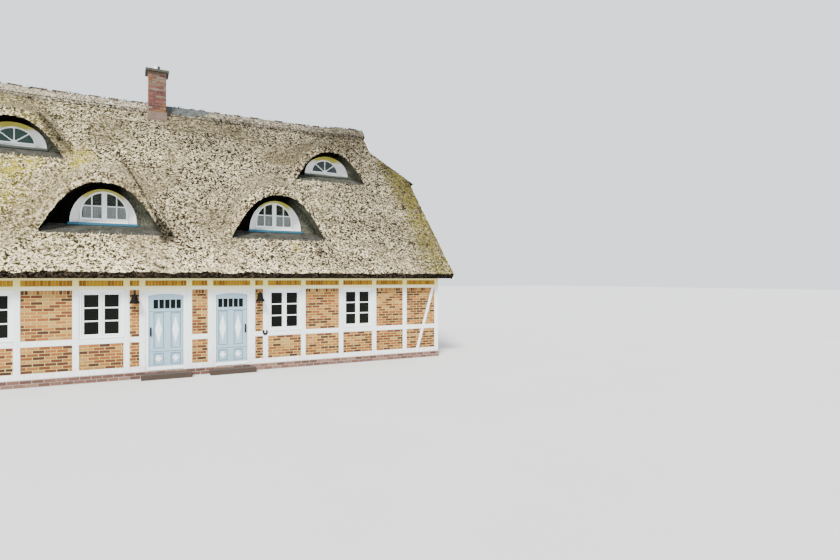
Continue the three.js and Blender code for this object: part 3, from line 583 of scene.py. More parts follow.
def window_tunnel(hood, side):
    """The hole behind a niche that the dormer window closes, a hair wider than the window."""
    outline = half_round(side * hood["x"], hood["sill"] - 0.0003, hood["window_half"] + 0.0003,
                         hood["window_rise"] + 0.0006)
    start, end = hood["back"] - 0.05 - half_depth, hood["back"] + 1.5 - half_depth
    return painted(prism(outline, (0, start, 0), (0, end, 0)), soffit_paint)


def box_mesh(low, high):
    (x0, y0, z0), (x1, y1, z1) = low, high
    return prism([(x0, y0, 0), (x1, y0, 0), (x1, y1, 0), (x0, y1, 0)], (0, 0, z0), (0, 0, z1))


stack_low = np.array(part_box("chimney_stack")[0])
stack_high = np.array(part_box("chimney_head")[1])


def chimney_hatch():
    """What the chimney takes up, a hair wider than its solids."""
    return painted(box_mesh(stack_low - 0.001, stack_high + 0.001), soffit_paint)


def mitre_cutter(side, facing):
    """What lies past the half-hip's mitre in plan, so that the hip's coat can meet it there."""
    foot_depth, gablet_depth = depth_at(hip_eave_height), depth_at(hip_height(gablet_x))
    run = (gablet_depth - foot_depth) / (hip_eave_x - gablet_x)
    outer_x, inner_depth = 8.2, half_depth + 0.2
    plan = [(outer_x, foot_depth - (outer_x - hip_eave_x) * run), (gablet_x, gablet_depth),
            (gablet_x, inner_depth), (outer_x, inner_depth)]
    outline = [(side * x, -facing * (depth - half_depth), 0) for x, depth in plan]
    return painted(prism(outline, (0, 0, 2), (0, 0, 12)), soffit_paint)


def coat_profile():
    """The underside of a coat, from the foot of its eave face over the wall to the ridge."""
    def under(depth):
        return slope_height(depth) - coat_rise
    return [(-eave_overhang + 0.11, wall_top), (wall_thickness, wall_top),
            (wall_thickness, under(wall_thickness)), (half_depth - 0.001, under(half_depth))]


def dressed(surface, seed, rough):
    """The surface with the waves and dents that hand-dressed reed has, kept inside the CAD coat."""
    def tuft(along):
        long_wave = noise.noise(Vector((along * 1.9, seed, 0)))
        return long_wave + 0.6 * noise.noise(Vector((along * 6.5, seed, 4)))

    def height(x, depth):
        smooth = surface(x, depth)
        points = np.stack([x, depth * 1.3, smooth * 0.4], -1).reshape(-1, 3)
        waves = 0.016 * uneven(points, 0.8, seed + 3) + 0.017 * uneven(points, 3.1, seed + 5)
        dents = 0.020 * uneven(points, 9.0, seed + 7)
        hanging = np.clip(1 - (depth + eave_overhang) / 0.3, 0, 1)
        tufts = np.array([tuft(along) for along in x[0]])
        return smooth + ((waves + dents) * rough).reshape(x.shape) - 0.012 + 0.045 * hanging * (tufts + 0.35)
    return height


def placed_on(facing, mesh):
    """Turns a mesh made in (x, depth, height) into the house's own axes."""
    points = points_of(mesh)
    points[:, 1] = -facing * (points[:, 1] - half_depth)
    return facing_out(moved(mesh, points))


thatch_step = 0.062
coat_xs = np.linspace(-verge_x, verge_x, int(2 * verge_x / thatch_step))
lip_rows = [hood["lip"] + offset for hood in hoods.values()
            for offset in (-0.062, -0.057, -0.048, -0.034, -0.015, 0.01, 0.04, 0.075, 0.11)]
even_rows = [d for d in np.arange(-eave_overhang, half_depth, thatch_step * 0.68)
             if all(abs(d - row) > 0.02 for row in lip_rows)]
coat_rows = np.array(sorted(even_rows + lip_rows + [half_depth - 0.001]))
front_coat = placed_on(-1, coat_of_reed(
    "front_coat", coat_xs, coat_rows, dressed(front_surface, 1, 1.0), coat_profile()))
front_cutters = [mitre_cutter(side, -1) for _, side in sides] + [chimney_hatch()]
for hood_size in hoods.values():
    for _, hand in sides:
        front_cutters += [niche_cutter(hood_size, hand), window_tunnel(hood_size, hand)]
front_coat = settled(weathered(carve(front_coat, front_cutters), fronted=True))


def trimmed(mesh):
    """Reed tips that stand past the house's own size are trimmed back to it."""
    return moved(mesh, np.clip(points_of(mesh), *cad_box))


def add_piece(name, mesh, body, slot, *stands_for):
    """Puts a finished mesh in the scene, riding on a body and taking the place of CAD nodes."""
    piece = link(bpy.data.objects.new(name, trimmed(mesh)))
    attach(piece, body)
    if stands_for:
        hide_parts(*stands_for)
    return piece


add_piece("front_reed_coat", front_coat, "root", "thatch", "front_thatch_right", "front_thatch_left")


def socket_set(tree, modifier, values):
    """Sets the named inputs of a tree on a modifier, by the sockets' identifiers."""
    for item in tree.interface.items_tree:
        if item.in_out == "INPUT" and item.name in values:
            modifier[item.identifier] = values[item.name]


def grown(mesh, tree, values):
    """Runs a tree of geometry nodes on a mesh and returns the result as a plain mesh."""
    bed = link(bpy.data.objects.new("bed", mesh))
    modifier = bed.modifiers.new("grow", "NODES")
    modifier.node_group = tree
    socket_set(tree, modifier, values)
    graph = bpy.context.evaluated_depsgraph_get()
    result = bpy.data.meshes.new_from_object(bed.evaluated_get(graph))
    bpy.data.objects.remove(bed)
    return result


class Tree:
    """One tree of geometry nodes, with short ways to add and join its nodes."""

    def __init__(self, name, inputs):
        self.tree = bpy.data.node_groups.new(name, "GeometryNodeTree")
        for label, kind in inputs:
            self.tree.interface.new_socket(label, in_out="INPUT", socket_type="NodeSocket" + kind)
        self.tree.interface.new_socket("Result", in_out="OUTPUT", socket_type="NodeSocketGeometry")
        self.given = self.tree.nodes.new("NodeGroupInput").outputs

    def node(self, kind, settings=None, **values):
        made = self.tree.nodes.new(kind)
        for setting, value in (settings or {}).items():
            setattr(made, setting, value)
        for label, value in values.items():
            sockets = [s for s in made.inputs if s.name.replace(" ", "_") == label and s.enabled]
            feed(self.tree, sockets[0], value)
        return made

    def vector(self, how, *values):
        made = self.tree.nodes.new("ShaderNodeVectorMath")
        made.operation = how
        for number, value in enumerate(values):
            feed(self.tree, made.inputs["Scale" if how == "SCALE" and number == 1 else number], value)
        return made.outputs["Value" if how == "DOT_PRODUCT" else "Vector"]

    def chance(self, low, high, kind="FLOAT_VECTOR", salt=0):
        made = self.tree.nodes.new("FunctionNodeRandomValue")
        made.data_type = kind
        for socket, value in zip([s for s in made.inputs if s.enabled], (low, high)):
            feed(self.tree, socket, value)
        made.inputs["Seed"].default_value = salt
        return next(s for s in made.outputs if s.enabled)

    def ends_with(self, geometry, paint):
        whole = self.node("GeometryNodeRealizeInstances", Geometry=geometry)
        dressed_up = self.node("GeometryNodeSetMaterial", Geometry=whole.outputs[0], Material=paint)
        end = self.tree.nodes.new("NodeGroupOutput")
        self.tree.links.new(dressed_up.outputs[0], end.inputs[0])
        return self.tree


def bundle_tree(paint):
    """Lays tapered reed bundles over a coat: thick cut ends down the slope, thin ends tucked in."""
    t = Tree("reed_bundles", [
        ("Coat", "Geometry"), ("Bundles a square metre", "Float"), ("Smallest", "Vector"),
        ("Largest", "Vector"), ("Fall", "Vector"), ("Along the face", "Float"), ("Paint number", "Int"),
        ("Seed", "Int")])
    numbers = t.node("GeometryNodeInputMaterialIndex")
    chosen = t.node("FunctionNodeCompare", {"data_type": "INT", "operation": "EQUAL"},
                    A=numbers.outputs[0], B=t.given["Paint number"])
    spread = t.node("GeometryNodeDistributePointsOnFaces", Mesh=t.given["Coat"], Selection=chosen.outputs[0],
                    Density=t.given["Bundles a square metre"], Seed=t.given["Seed"])
    normal = spread.outputs["Normal"]
    fall = t.vector("NORMALIZE", t.given["Fall"])
    lifted = t.vector("SCALE", normal, t.vector("DOT_PRODUCT", fall, normal))
    down = t.vector("NORMALIZE", t.vector("SUBTRACT", fall, lifted))
    mixed = t.node("ShaderNodeMix", {"data_type": "VECTOR"}, Factor=t.given["Along the face"])
    for number, value in ((4, fall), (5, down)):
        t.tree.links.new(value, mixed.inputs[number])
    tossed = t.vector("ADD", mixed.outputs[1], t.chance((-0.22, -0.22, -0.12), (0.22, 0.22, 0.12), salt=1))
    inward = t.vector("SCALE", normal, 0.2)
    axis = t.vector("SCALE", t.vector("ADD", tossed, inward), -1.0)
    first = t.node("FunctionNodeAlignRotationToVector", {"axis": "Z"}, Vector=axis)
    rolled = t.node("FunctionNodeAlignRotationToVector", {"axis": "Y", "pivot_axis": "Z"},
                    Rotation=first.outputs[0], Vector=normal)
    cone = t.node("GeometryNodeMeshCone", Vertices=3, Radius_Top=0.0, Radius_Bottom=0.5, Depth=1.0)
    wedge = t.node("GeometryNodeTransform", Geometry=cone.outputs["Mesh"], Rotation=(0.0, 0.0, math.pi / 2))
    laid = t.node("GeometryNodeInstanceOnPoints", Points=spread.outputs["Points"], Instance=wedge.outputs[0],
                  Rotation=rolled.outputs[0], Scale=t.chance(t.given["Smallest"], t.given["Largest"], salt=2))
    toned = t.node("GeometryNodeStoreNamedAttribute", {"data_type": "FLOAT", "domain": "INSTANCE"},
                   Geometry=laid.outputs[0], Name="tone", Value=t.chance(0.25, 1.0, "FLOAT", 3))
    return t.ends_with(toned.outputs[0], paint)


def half_of(mesh, side):
    """A copy of a mesh with only the faces on one side of the middle of the house."""
    work = bmesh.new()
    work.from_mesh(mesh)
    gone = [f for f in work.faces if f.calc_center_median().x * side < 0]
    bmesh.ops.delete(work, geom=gone, context="FACES")
    half = bpy.data.meshes.new("half")
    work.to_mesh(half)
    work.free()
    return half


def joined(name, *meshes):
    """Several meshes as one, each face keeping its paint."""
    parts = [link(bpy.data.objects.new(name, mesh)) for mesh in meshes]
    with bpy.context.temp_override(active_object=parts[0], selected_editable_objects=parts):
        bpy.ops.object.join()
    mesh = parts[0].data
    bpy.data.objects.remove(parts[0])
    return mesh


reed_bundles = bundle_tree(thatch_paint)
cut_ends = bundle_tree(shaded_cut_paint)
fine_bundles = ((0.025, 0.025, 0.045), (0.07, 0.06, 0.10))
cut_bundles = ((0.02, 0.02, 0.05), (0.05, 0.05, 0.09))


def bundled(bed, tree, density, sizes, fall, seed, kind=on_slope):
    """Bundles on a coat, with their density a square metre and their smallest and largest size."""
    return grown(bed, tree, {
        "Bundles a square metre": density, "Smallest": sizes[0], "Largest": sizes[1], "Fall": fall,
        "Along the face": 1.0 if kind == on_slope else 0.0, "Paint number": kind, "Seed": seed})


front_fall = (0.0, -1.0, -roof_slope)
for side_name, hand in sides:
    half_coat = half_of(front_coat, hand)
    on_the_slope = bundled(half_coat, reed_bundles, 520.0, fine_bundles, front_fall, 11 + hand)
    on_the_cut = bundled(half_coat, cut_ends, 700.0, cut_bundles, front_fall, 21 + hand, on_cut)
    bundles = joined("bundles", on_the_slope, on_the_cut)
    add_piece(f"front_reed_bundles_{side_name}", bundles, "root", "thatch")


# Back thatch
# The same thick coat of reed on the plain back slope, with no dormers in it.
# It is laid and dressed as the front is, in larger bundles.
def plain_surface(x, depth):
    return slope_height(depth) + 0 * x


back_step = 0.12
back_xs = np.linspace(-verge_x, verge_x, int(2 * verge_x / back_step))
back_rows = np.append(np.arange(-eave_overhang, half_depth - 0.03, back_step * 0.68), half_depth - 0.001)
back_coat = placed_on(1, coat_of_reed(
    "back_coat", back_xs, back_rows, dressed(plain_surface, 2, 0.8), coat_profile()))
back_coat = settled(weathered(carve(back_coat, [mitre_cutter(side, 1) for _, side in sides])))
large_bundles = ((0.05, 0.03, 0.10), (0.13, 0.09, 0.24))
back_bundles = bundled(back_coat, reed_bundles, 230.0, large_bundles, (0.0, 1.0, -roof_slope), 5)
add_piece("back_reed_coat", joined("back", back_coat, back_bundles), "root", "thatch", "back_thatch")


# Half-hip thatch
# The short coats that close the roof over each gable, ending in a thick eave,
# and the brown board that closes the gablet above each.
hip_rise = 0.432
hip_step = 0.07
gable_wall_top = 6.33
hip_foot = half_depth - depth_at(hip_eave_height)
gablet_foot = half_depth - depth_at(hip_height(gablet_x))


def hip_half(x):
    """Half the width of the half-hip at a distance from the middle of the house."""
    return hip_foot + (hip_eave_x - x) / (hip_eave_x - gablet_x) * (gablet_foot - hip_foot)


def hip_coat(side):
    """A coat whose grid runs along the gable and up the half-hip."""
    xs = np.append(np.arange(gablet_x, hip_eave_x - 0.01, hip_step * 0.7), hip_eave_x - 0.008)
    shares = np.linspace(-1, 1, int(2 * hip_foot / hip_step))
    grid_x, grid_share = np.meshgrid(xs, shares)
    grid_y = grid_share * hip_half(grid_x)
    spots = np.stack([grid_x * 1.3, grid_y, hip_height(grid_x) * 0.4], -1).reshape(-1, 3)
    rough = 0.014 * uneven(spots, 0.9, 31) + 0.015 * uneven(spots, 3.0, 33) + 0.018 * uneven(spots, 9.0, 35)
    grid_z = hip_height(grid_x) + rough.reshape(grid_x.shape) - 0.012
    inner_x = 7.25
    wall_x = hip_eave_x - (gable_wall_top + hip_rise - hip_eave_height) / hip_slope
    foot_x = hip_eave_x - 0.216
    profile = [(gablet_x, hip_height(gablet_x) - hip_rise), (inner_x, hip_height(inner_x) - hip_rise),
               (inner_x, gable_wall_top), (wall_x, gable_wall_top), (foot_x, hip_height(foot_x) - hip_rise)]
    points = list(zip(grid_x.ravel(), grid_y.ravel(), grid_z.ravel()))
    above = numbered_rows(len(shares), len(xs))
    below = numbered_rows(len(shares), len(profile), len(points))
    points += [(x, share * hip_half(x), z) for share in shares for x, z in profile]
    faces = [pair for low, high in zip(above, above[1:]) for pair in of_kind(on_slope, strip(low, high))]
    for top, next_top, under, next_under in zip(above, above[1:], below, below[1:]):
        faces += of_kind(on_soffit, strip(under, next_under))
        faces.append(((under[-1], top[-1], next_top[-1], next_under[-1]), on_cut))
        faces.append(((top[0], under[0], next_under[0], next_top[0]), on_soffit))
    for end in (0, -1):
        faces.append((tuple(above[end] + below[end][::-1]), on_soffit))
    return facing_out(coat_mesh("hip_coat", [(side * x, y, z) for x, y, z in points], faces))


board_box = Paintbox("weathered_brown_boards", 0.85)
brown_board_paint = board_box.two_tone(
    board_box.grain(7.0, 5.0, 0.6, board_box.stretched((1.0, 6.0, 0.5))),
    (0.3, (0.07, 0.04, 0.025)), (0.7, (0.19, 0.115, 0.07)), 0.01)
panel_half = 0.62
panel_foot = hip_height(gablet_x) - 0.3
panel_top = slope_height(half_depth) - 0.47
panel_outline = [(0, -panel_half, panel_foot), (0, panel_half, panel_foot), (0, 0, panel_top)]
for side_name, hand in sides:
    coat = weathered(hip_coat(hand))
    hip_fall = (hand * 1.0, 0.0, -hip_slope)
    on_the_slope = bundled(coat, reed_bundles, 420.0, fine_bundles, hip_fall, 41 + hand)
    on_the_cut = bundled(coat, cut_ends, 500.0, cut_bundles, hip_fall, 51 + hand, on_cut)
    panel = painted(prism(panel_outline, (hand * (gablet_x - 0.08), 0, 0), (hand * (gablet_x + 0.018), 0, 0)),
                    brown_board_paint)
    add_piece(f"{side_name}_hip_reed_coat", joined("hip", coat, on_the_slope, on_the_cut, panel),
              "root", "thatch", f"{side_name}_hip_thatch")


# Ridge cap
# Reed and heather bent over the ridge and held down with long rods and spars. Its lower edges
# show as a dark seam on both slopes, a painted shadow: the rods are painted near black, and the
# coat just under the cap is painted darker.
ridge_half = 6.73
ridge_top = slope_height(half_depth)
ridge_paint = reed_paint("ridge_reed", (0.76, 0.67, 0.51), (0.50, 0.43, 0.31), (0.16, 0.13, 0.09))
# Painted shadow: the hazel rods are painted near black, to show the seam along the cap's lower edges.
rod_box = Paintbox("hazel_rods", 0.9)
rod_shadow_paint = rod_box.finish(
    rod_box.ramp(rod_box.grain(30.0), (0.3, (0.008, 0.006, 0.004)), (0.7, (0.045, 0.035, 0.025))))
# A painted shadow: the chimney's shadow on the ridge, painted dark grey-green on a thin sheet.
chimney_shadow_box = Paintbox("mossy_ridge_felt", 0.95)
chimney_shadow_paint = chimney_shadow_box.two_tone(
    chimney_shadow_box.mixed(chimney_shadow_box.grain(6.0), chimney_shadow_box.grain(40.0)),
    (0.35, (0.014, 0.018, 0.019)), (0.65, (0.10, 0.112, 0.105)), 0.02)


def ridge_profile(share):
    """Distance from the middle and height over the slope's own peak, from one edge to the other."""
    y = share * ridge_width
    over = 0.045 - abs(share) ** 1.6 * ridge_width * roof_slope
    return y, over + 0.062 * min(1.0, (1 - abs(share)) * 2.2 + 0.55) - 0.03


def tube(name, points, rings, paint):
    """A closed tube through rings of point numbers, capped at both ends."""
    faces = [face for low, high in zip(rings, rings[1:]) for face in strip(low, high, closed=True)]
    faces += [tuple(rings[0]), tuple(rings[-1])]
    return facing_out(solid_mesh(name, points, faces, [paint]))


def ridge_mesh():
    """The ridge's reed, waving and ragged along its length, on a flat underside."""
    lengths = np.linspace(-ridge_half, ridge_half, 220)
    shares = np.linspace(-1, 1, 15)
    under_shares = (0.97, 0.0, -0.97)
    points = []
    for x in lengths:
        wave = 0.012 * noise.noise(Vector((x * 1.9, 3.0, 1.0)))
        for share in shares:
            y, z = ridge_profile(share)
            rag = 0.014 * noise.noise(Vector((x * 11.0, share * 3.0, 7.0)))
            points.append((x, y * (1 + 4 * rag * abs(share)), ridge_top + z + wave + rag))
        for share in under_shares:
            y = share * ridge_width
            points.append((x, y, ridge_top - abs(y) * roof_slope - 0.02))
    return tube("ridge", points, numbered_rows(len(lengths), len(shares) + len(under_shares)), ridge_paint)


def rod(start, end, radius, sides_round=6):
    """A rough round rod between two points."""
    start, end = Vector(start), Vector(end)
    along = (end - start).normalized()
    across = along.cross(Vector((0, 0.3, 1))).normalized()
    up = across.cross(along)
    angles = [2 * math.pi * i / sides_round for i in range(sides_round)]
    points = [where + radius * (math.cos(angle) * across + math.sin(angle) * up)
              for where in (start, end) for angle in angles]
    return tube("rod", points, numbered_rows(2, sides_round), rod_shadow_paint)


def chimney_shadow_sheet(x0, x1):
    """A dark sheet over the front of the ridge beside the chimney, narrowing to its end: a painted shadow of
    the chimney.
    """
    lengths, shares = np.linspace(x0, x1, 14), np.linspace(0, 1, 9)
    points = []
    for x in lengths:
        low = -1.0 + 0.6 * ((x - x0) / (x1 - x0)) ** 6
        for lift in (0.016, -0.006):
            for share in low + (0.02 - low) * shares:
                y, z = ridge_profile(share)
                lump = 0.006 * noise.noise(Vector((x * 9.0, share * 6.0, 2.0)))
                points.append((x, y, ridge_top + z + lift + lump))
    rows = numbered_rows(2 * len(lengths), len(shares))
    rings = [upper + lower[::-1] for upper, lower in zip(rows[::2], rows[1::2])]
    return tube("felt", points, rings, chimney_shadow_paint)


def at_chimney(start, end, clear):
    """Whether a stretch of the ridge comes closer to the chimney than a clearance."""
    return stack_low[0] - clear < end and start < stack_high[0] + clear


ridge_coat = weathered(carve(ridge_mesh(), [chimney_hatch()]))
ridge_bundles = bundle_tree(ridge_paint)
thin_bundles = ((0.02, 0.012, 0.08), (0.045, 0.025, 0.16))
ridge_parts = [ridge_coat]
for facing in (-1, 1):
    ridge_parts.append(bundled(ridge_coat, ridge_bundles, 200.0, thin_bundles,
                               (0.0, facing * 1.0, -roof_slope), 60 + facing))
ridge_parts.append(chimney_shadow_sheet(stack_high[0] + 0.004, stack_high[0] + 1.42))
luck = np.random.default_rng(17)
# Long rods along both lower edges, each lapping the last.
rod_out, rod_level = ridge_profile(0.93)
for facing in (-1, 1):
    x = -ridge_half + 0.05
    while x < ridge_half - 0.9:
        reach = x + luck.uniform(0.7, 1.1)
        if facing > 0 or not at_chimney(x, reach, 0.05):
            ends = [(end, facing * (rod_out + wobble), ridge_top + rod_level + 0.010)
                    for end, wobble in zip((x, reach), luck.uniform(-0.008, 0.008, 2))]
            ridge_parts.append(rod(*ends, 0.010))
        x = reach - 0.06
# Short spars that stick up through the top.
spar_level = ridge_profile(0.15)[1]
for x in np.arange(-ridge_half + 0.2, ridge_half - 0.2, 0.17):
    if at_chimney(x, x, 0.1) or luck.random() < 0.35:
        continue
    lean, height = luck.uniform(-0.12, 0.12), luck.uniform(0.03, 0.09)
    head = (x + lean, luck.uniform(0.02, 0.10), ridge_top + spar_level + height)
    ridge_parts.append(rod((x, -0.09, ridge_top + spar_level - 0.03), head, 0.013, 5))
# Thick rods end to end along the crest.
crest = -ridge_half + 0.1
crest_level = ridge_top + ridge_profile(0)[1] + 0.016
while crest < ridge_half - 0.5:
    reach = crest + luck.uniform(0.12, 0.45)
    if not at_chimney(crest, reach, 0.05):
        rod_end = (reach, luck.uniform(-0.02, 0.02), crest_level)
        ridge_parts.append(rod((crest, 0.0, crest_level), rod_end, 0.022))
    crest = reach + luck.uniform(0.05, 0.8)
add_piece("ridge_reed_cap", settled(joined("ridge", *ridge_parts)), "root", "ridge_thatch", "ridge_cap")


# Brick walls
# Mortar is the CAD wall's own face. Each brick is laid on it in stretcher
# courses between the timbers, and on end in the row over the wall plate.
mortar_box = Paintbox("lime_mortar", 0.95)
mortar_paint = mortar_box.two_tone(
    mortar_box.mixed(mortar_box.grain(45.0, 3.0), mortar_box.grain(2.0)),
    (0.3, (0.44, 0.34, 0.095)), (0.7, (0.66, 0.55, 0.19)), 0.004)


def brick_paint(name, *tones, lichen=()):
    """Fired clay: each brick has a tone of its own, with a sanded face, sooty specks, painted shade low down
    and orange lichen.
    """
    box = Paintbox(name, 0.9)
    # Sooty specks from noise, and painted shade: the bricks darker towards the ground.
    specks_and_low_shade = box.times(box.span(box.grain(24.0, 4.0, 0.65), 0.3, 0.72, 0.72, 1.12),
                       box.span(box.axis("Z"), 0.2, 1.0, 0.72, 1.0))
    colour = box.shaded(box.ramp(box.attribute("tone"), *tones), specks_and_low_shade)
    patches = box.span(box.grain(7.0, 3.0, 0.65), 0.42, 0.52, 0.0, 0.85)
    soft_edge = 0.03
    for left, right, low, high in lichen:
        share = patches
        for letter, start, end in (("X", left, right), ("Z", low, high)):
            within = box.times(box.span(box.axis(letter), start - soft_edge, start),
                               box.span(box.axis(letter), end + soft_edge, end))
            share = box.times(share, within)
        colour = box.blend(share, colour, (0.165, 0.062, 0.010))
    return box.finish(colour, box.grain(90.0, 3.0, 0.7), 0.004, 0.8)


wall_brick_paint = brick_paint(
    "buff_and_red_brick", (0.0, (0.055, 0.018, 0.010)), (0.3, (0.15, 0.040, 0.013)),
    (0.52, (0.32, 0.098, 0.021)), (0.8, (0.42, 0.19, 0.045)), (1.0, (0.46, 0.275, 0.085)))
frieze_brick_paint = brick_paint(
    "orange_brick_on_end", (0.0, (0.22, 0.08, 0.0)), (0.5, (0.37, 0.165, 0.0)), (1.0, (0.45, 0.26, 0.0)))
plinth_brick_paint = brick_paint(
    "hard_brown_brick", (0.0, (0.12, 0.05, 0.035)), (0.5, (0.24, 0.11, 0.075)), (1.0, (0.36, 0.20, 0.14)))

wall_faces = {
    "front": (lambda u, depth, z: (u, -half_depth + depth, z), 0.0),
    "back": (lambda u, depth, z: (u, half_depth - depth, z), math.pi),
    "right_gable": (lambda u, depth, z: (half_length - depth, u, z), math.pi / 2),
    "left_gable": (lambda u, depth, z: (-half_length + depth, u, z), -math.pi / 2),
}


def brick_tree():
    """Sets one brick at each point, as large as the point's size says."""
    given = [("Places", "Geometry"), ("Brick", "Object"), ("Turn", "Vector"), ("Paint", "Material")]
    t = Tree("laid_bricks", given)
    sample = t.node("GeometryNodeObjectInfo", Object=t.given["Brick"])
    size = t.node("GeometryNodeInputNamedAttribute", {"data_type": "FLOAT_VECTOR"}, Name="size")
    tilt = t.node("GeometryNodeInputNamedAttribute", {"data_type": "FLOAT_VECTOR"}, Name="tilt")
    turn = t.vector("ADD", t.given["Turn"], tilt.outputs[0])
    laid = t.node("GeometryNodeInstanceOnPoints", Points=t.given["Places"],
                  Instance=sample.outputs["Geometry"], Rotation=turn, Scale=size.outputs[0])
    return t.ends_with(laid.outputs[0], t.given["Paint"])


def brick_sample():
    """One brick a unit long, deep and high, with worn arrises round its outer face."""
    worn = 0.045
    corners = [(x, z) for x in (-0.5, 0.5) for z in (-0.5, 0.5)]
    points = [(x, y, z) for y in (0.5, -0.25) for x, z in corners]
    points += [(x * (1 - worn * 0.8), -0.5, z * (1 - 2 * worn)) for x, z in corners]
    faces = [(0, 1, 3, 2), (8, 9, 11, 10)]
    for a, b in ((0, 1), (1, 3), (3, 2), (2, 0)):
        faces += [(a, b, b + 4, a + 4), (a + 4, b + 4, b + 8, a + 8)]
    return facing_out(solid_mesh("brick", points, faces))


sample_brick = link(bpy.data.objects.new("sample_brick", brick_sample()))
laid_bricks = brick_tree()
Brick = namedtuple("Brick", "along level long high out tone")


def courses(panel, luck, course=0.0790, length=0.228, joint=0.015, on_end=False, phase=0.0):
    """Places, sizes and tones of the bricks in one panel (from, to, bottom, top)."""
    u0, u1, z0, z1 = panel
    rows = 1 if on_end else max(1, round((z1 - z0) / course))
    high = (z1 - z0) / rows
    step = 0.077 if on_end else length + joint
    smallest, edge_joint = 0.022, 0.004
    laid = []
    for row in range(rows):
        u = u0 - step * (phase + (0.5 if row % 2 else 0.0)) % step - step
        while u < u1:
            a, b = max(u + joint / 2, u0 + edge_joint), min(u + step - joint / 2, u1 - edge_joint)
            if b - a > smallest:
                laid.append(Brick((a + b) / 2, z0 + (row + 0.5) * high, b - a, high - joint,
                                  luck.uniform(-0.0015, 0.0015), luck.random()))
            u += step
    return laid


def own_tone(brick):
    return brick.tone


def brickwork(name, wall, laid, paint, slot, luck, face=0.008, inside=0.034, ragged=1.0, tilt=0.006,
              tone_of=own_tone):
    """Bricks on one wall, their faces at a depth a little proud of the mortar."""
    where, turn = wall_faces[wall]
    middle = (face + inside) / 2
    mesh = solid_mesh("places", [where(b.along, middle + ragged * b.out, b.level) for b in laid], [])
    sizes = [v for b in laid for v in (b.long, inside - face, b.high)]
    mesh.attributes.new("size", "FLOAT_VECTOR", "POINT").data.foreach_set("vector", sizes)
    tilts = [v for _ in laid for v in luck.uniform(-tilt, tilt, 3)]
    mesh.attributes.new("tilt", "FLOAT_VECTOR", "POINT").data.foreach_set("vector", tilts)
    store(mesh, "tone", [tone_of(b) for b in laid])
    bricks = grown(mesh, laid_bricks, {"Brick": sample_brick, "Turn": (0.0, 0.0, turn), "Paint": paint})
    return add_piece(name, bricks, "root", slot)


plinth_top = 0.18
sole_top = 0.32
rail_bottom, rail_top = 0.96, 1.10
plate_bottom, plate_top = 2.32, 2.42
stub_top = 2.565
post_half = 0.07
post_centres = (0.27, 1.40, 1.76, 2.87, 4.055, 5.165, 6.25, 7.44)
front_window_bays = ((1.76, 2.87), (4.055, 5.165))
soldier_bottom = plate_bottom - 0.112
soldier_joint, frieze_joint = 0.012, 0.008


def both_halves(centres):
    """The posts' centres in both halves of a wall, in order."""
    return sorted([-centre for centre in centres] + list(centres))


def bays(centres, side=1):
    """Clear runs between neighbouring posts, mirrored for the left half."""
    runs = [(a + post_half, b - post_half) for a, b in zip(centres, centres[1:])]
    return runs if side > 0 else [(-b, -a) for a, b in runs]


def is_window(run, window_bays):
    """Whether a bay holds a window, on either half of its wall."""
    middle = abs(run[0] + run[1]) / 2
    return any(a < middle < b for a, b in window_bays)


luck = np.random.default_rng(8)
whole_row = both_halves(post_centres)
front_bricks, front_frieze = [], []
for side_name, hand in sides:
    for run in bays(post_centres[1:], hand):
        front_bricks += courses((*run, sole_top, rail_bottom), luck, phase=luck.random())
        if not is_window(run, front_window_bays):
            front_bricks += courses((*run, rail_top, soldier_bottom), luck, phase=luck.random())
            soldiers = (*run, soldier_bottom, plate_bottom)
            front_bricks += courses(soldiers, luck, joint=soldier_joint, on_end=True)
middle_run = (-post_centres[0] + post_half, post_centres[0] - post_half)
front_bricks += courses((*middle_run, sole_top, rail_bottom), luck)
front_bricks += courses((*middle_run, rail_top, soldier_bottom), luck)
front_bricks += courses((*middle_run, soldier_bottom, plate_bottom), luck, joint=soldier_joint, on_end=True)
for run in bays(whole_row):
    front_frieze += courses((*run, plate_top, stub_top), luck, joint=frieze_joint, on_end=True)
brickwork("front_wall_bricks", "front", front_bricks, wall_brick_paint, "wall_brick", luck)
brickwork("front_frieze_bricks", "front", front_frieze, frieze_brick_paint, "wall_brick", luck)

back_window_bays = ((0.27, 1.40),) + front_window_bays
back_bricks, back_frieze = [], []
for run in bays(whole_row):
    back_bricks += courses((*run, sole_top, rail_bottom), luck, phase=luck.random())
    if not is_window(run, back_window_bays):
        back_bricks += courses((*run, rail_top, plate_bottom), luck, phase=luck.random())
    back_frieze += courses((*run, plate_top, stub_top), luck, joint=frieze_joint, on_end=True)
brickwork("back_wall_bricks", "back", back_bricks, wall_brick_paint, "wall_brick", luck)
brickwork("back_frieze_bricks", "back", back_frieze, frieze_brick_paint, "wall_brick", luck)

footing_proud = 0.015
for wall, half in (("front", half_length), ("back", half_length), ("right_gable", half_depth),
                   ("left_gable", half_depth)):
    reach = half + footing_proud
    footing = courses((-reach, reach, 0.004, plinth_top - 0.004), luck)
    brickwork(f"plinth_bricks_{wall}", wall, footing, plinth_brick_paint, "plinth_brick", luck,
              face=-0.027, inside=0.01)


# Gable brickwork
# The same bricks in the gables' bays, with a row on end under the floor beam.
# They reach up to the thatch, and their own ends are hidden behind the boards.
gable_posts = (0.555, 1.665, 2.60, 3.71)
gable_windows = ((0.555, 1.665), (2.60, 3.71))
gable_beam = (2.62, 2.82)
sill_rail = (4.00, 4.10)
head_rail = (5.20, 5.30)
upper_posts = (0.23, 1.20, 1.60, 2.57)
outer_upper_post = 3.40
upper_windows = ((0.23, 1.20), (1.60, 2.57))
gable_corner = half_depth - 0.12
gable_row, upper_row = both_halves(gable_posts), both_halves(upper_posts)
gable_edges = [-gable_corner - post_half] + gable_row + [gable_corner + post_half]
lower_end, upper_end, top_end = 5.1, 4.0, 2.6 + post_half
behind_boards = 0.05


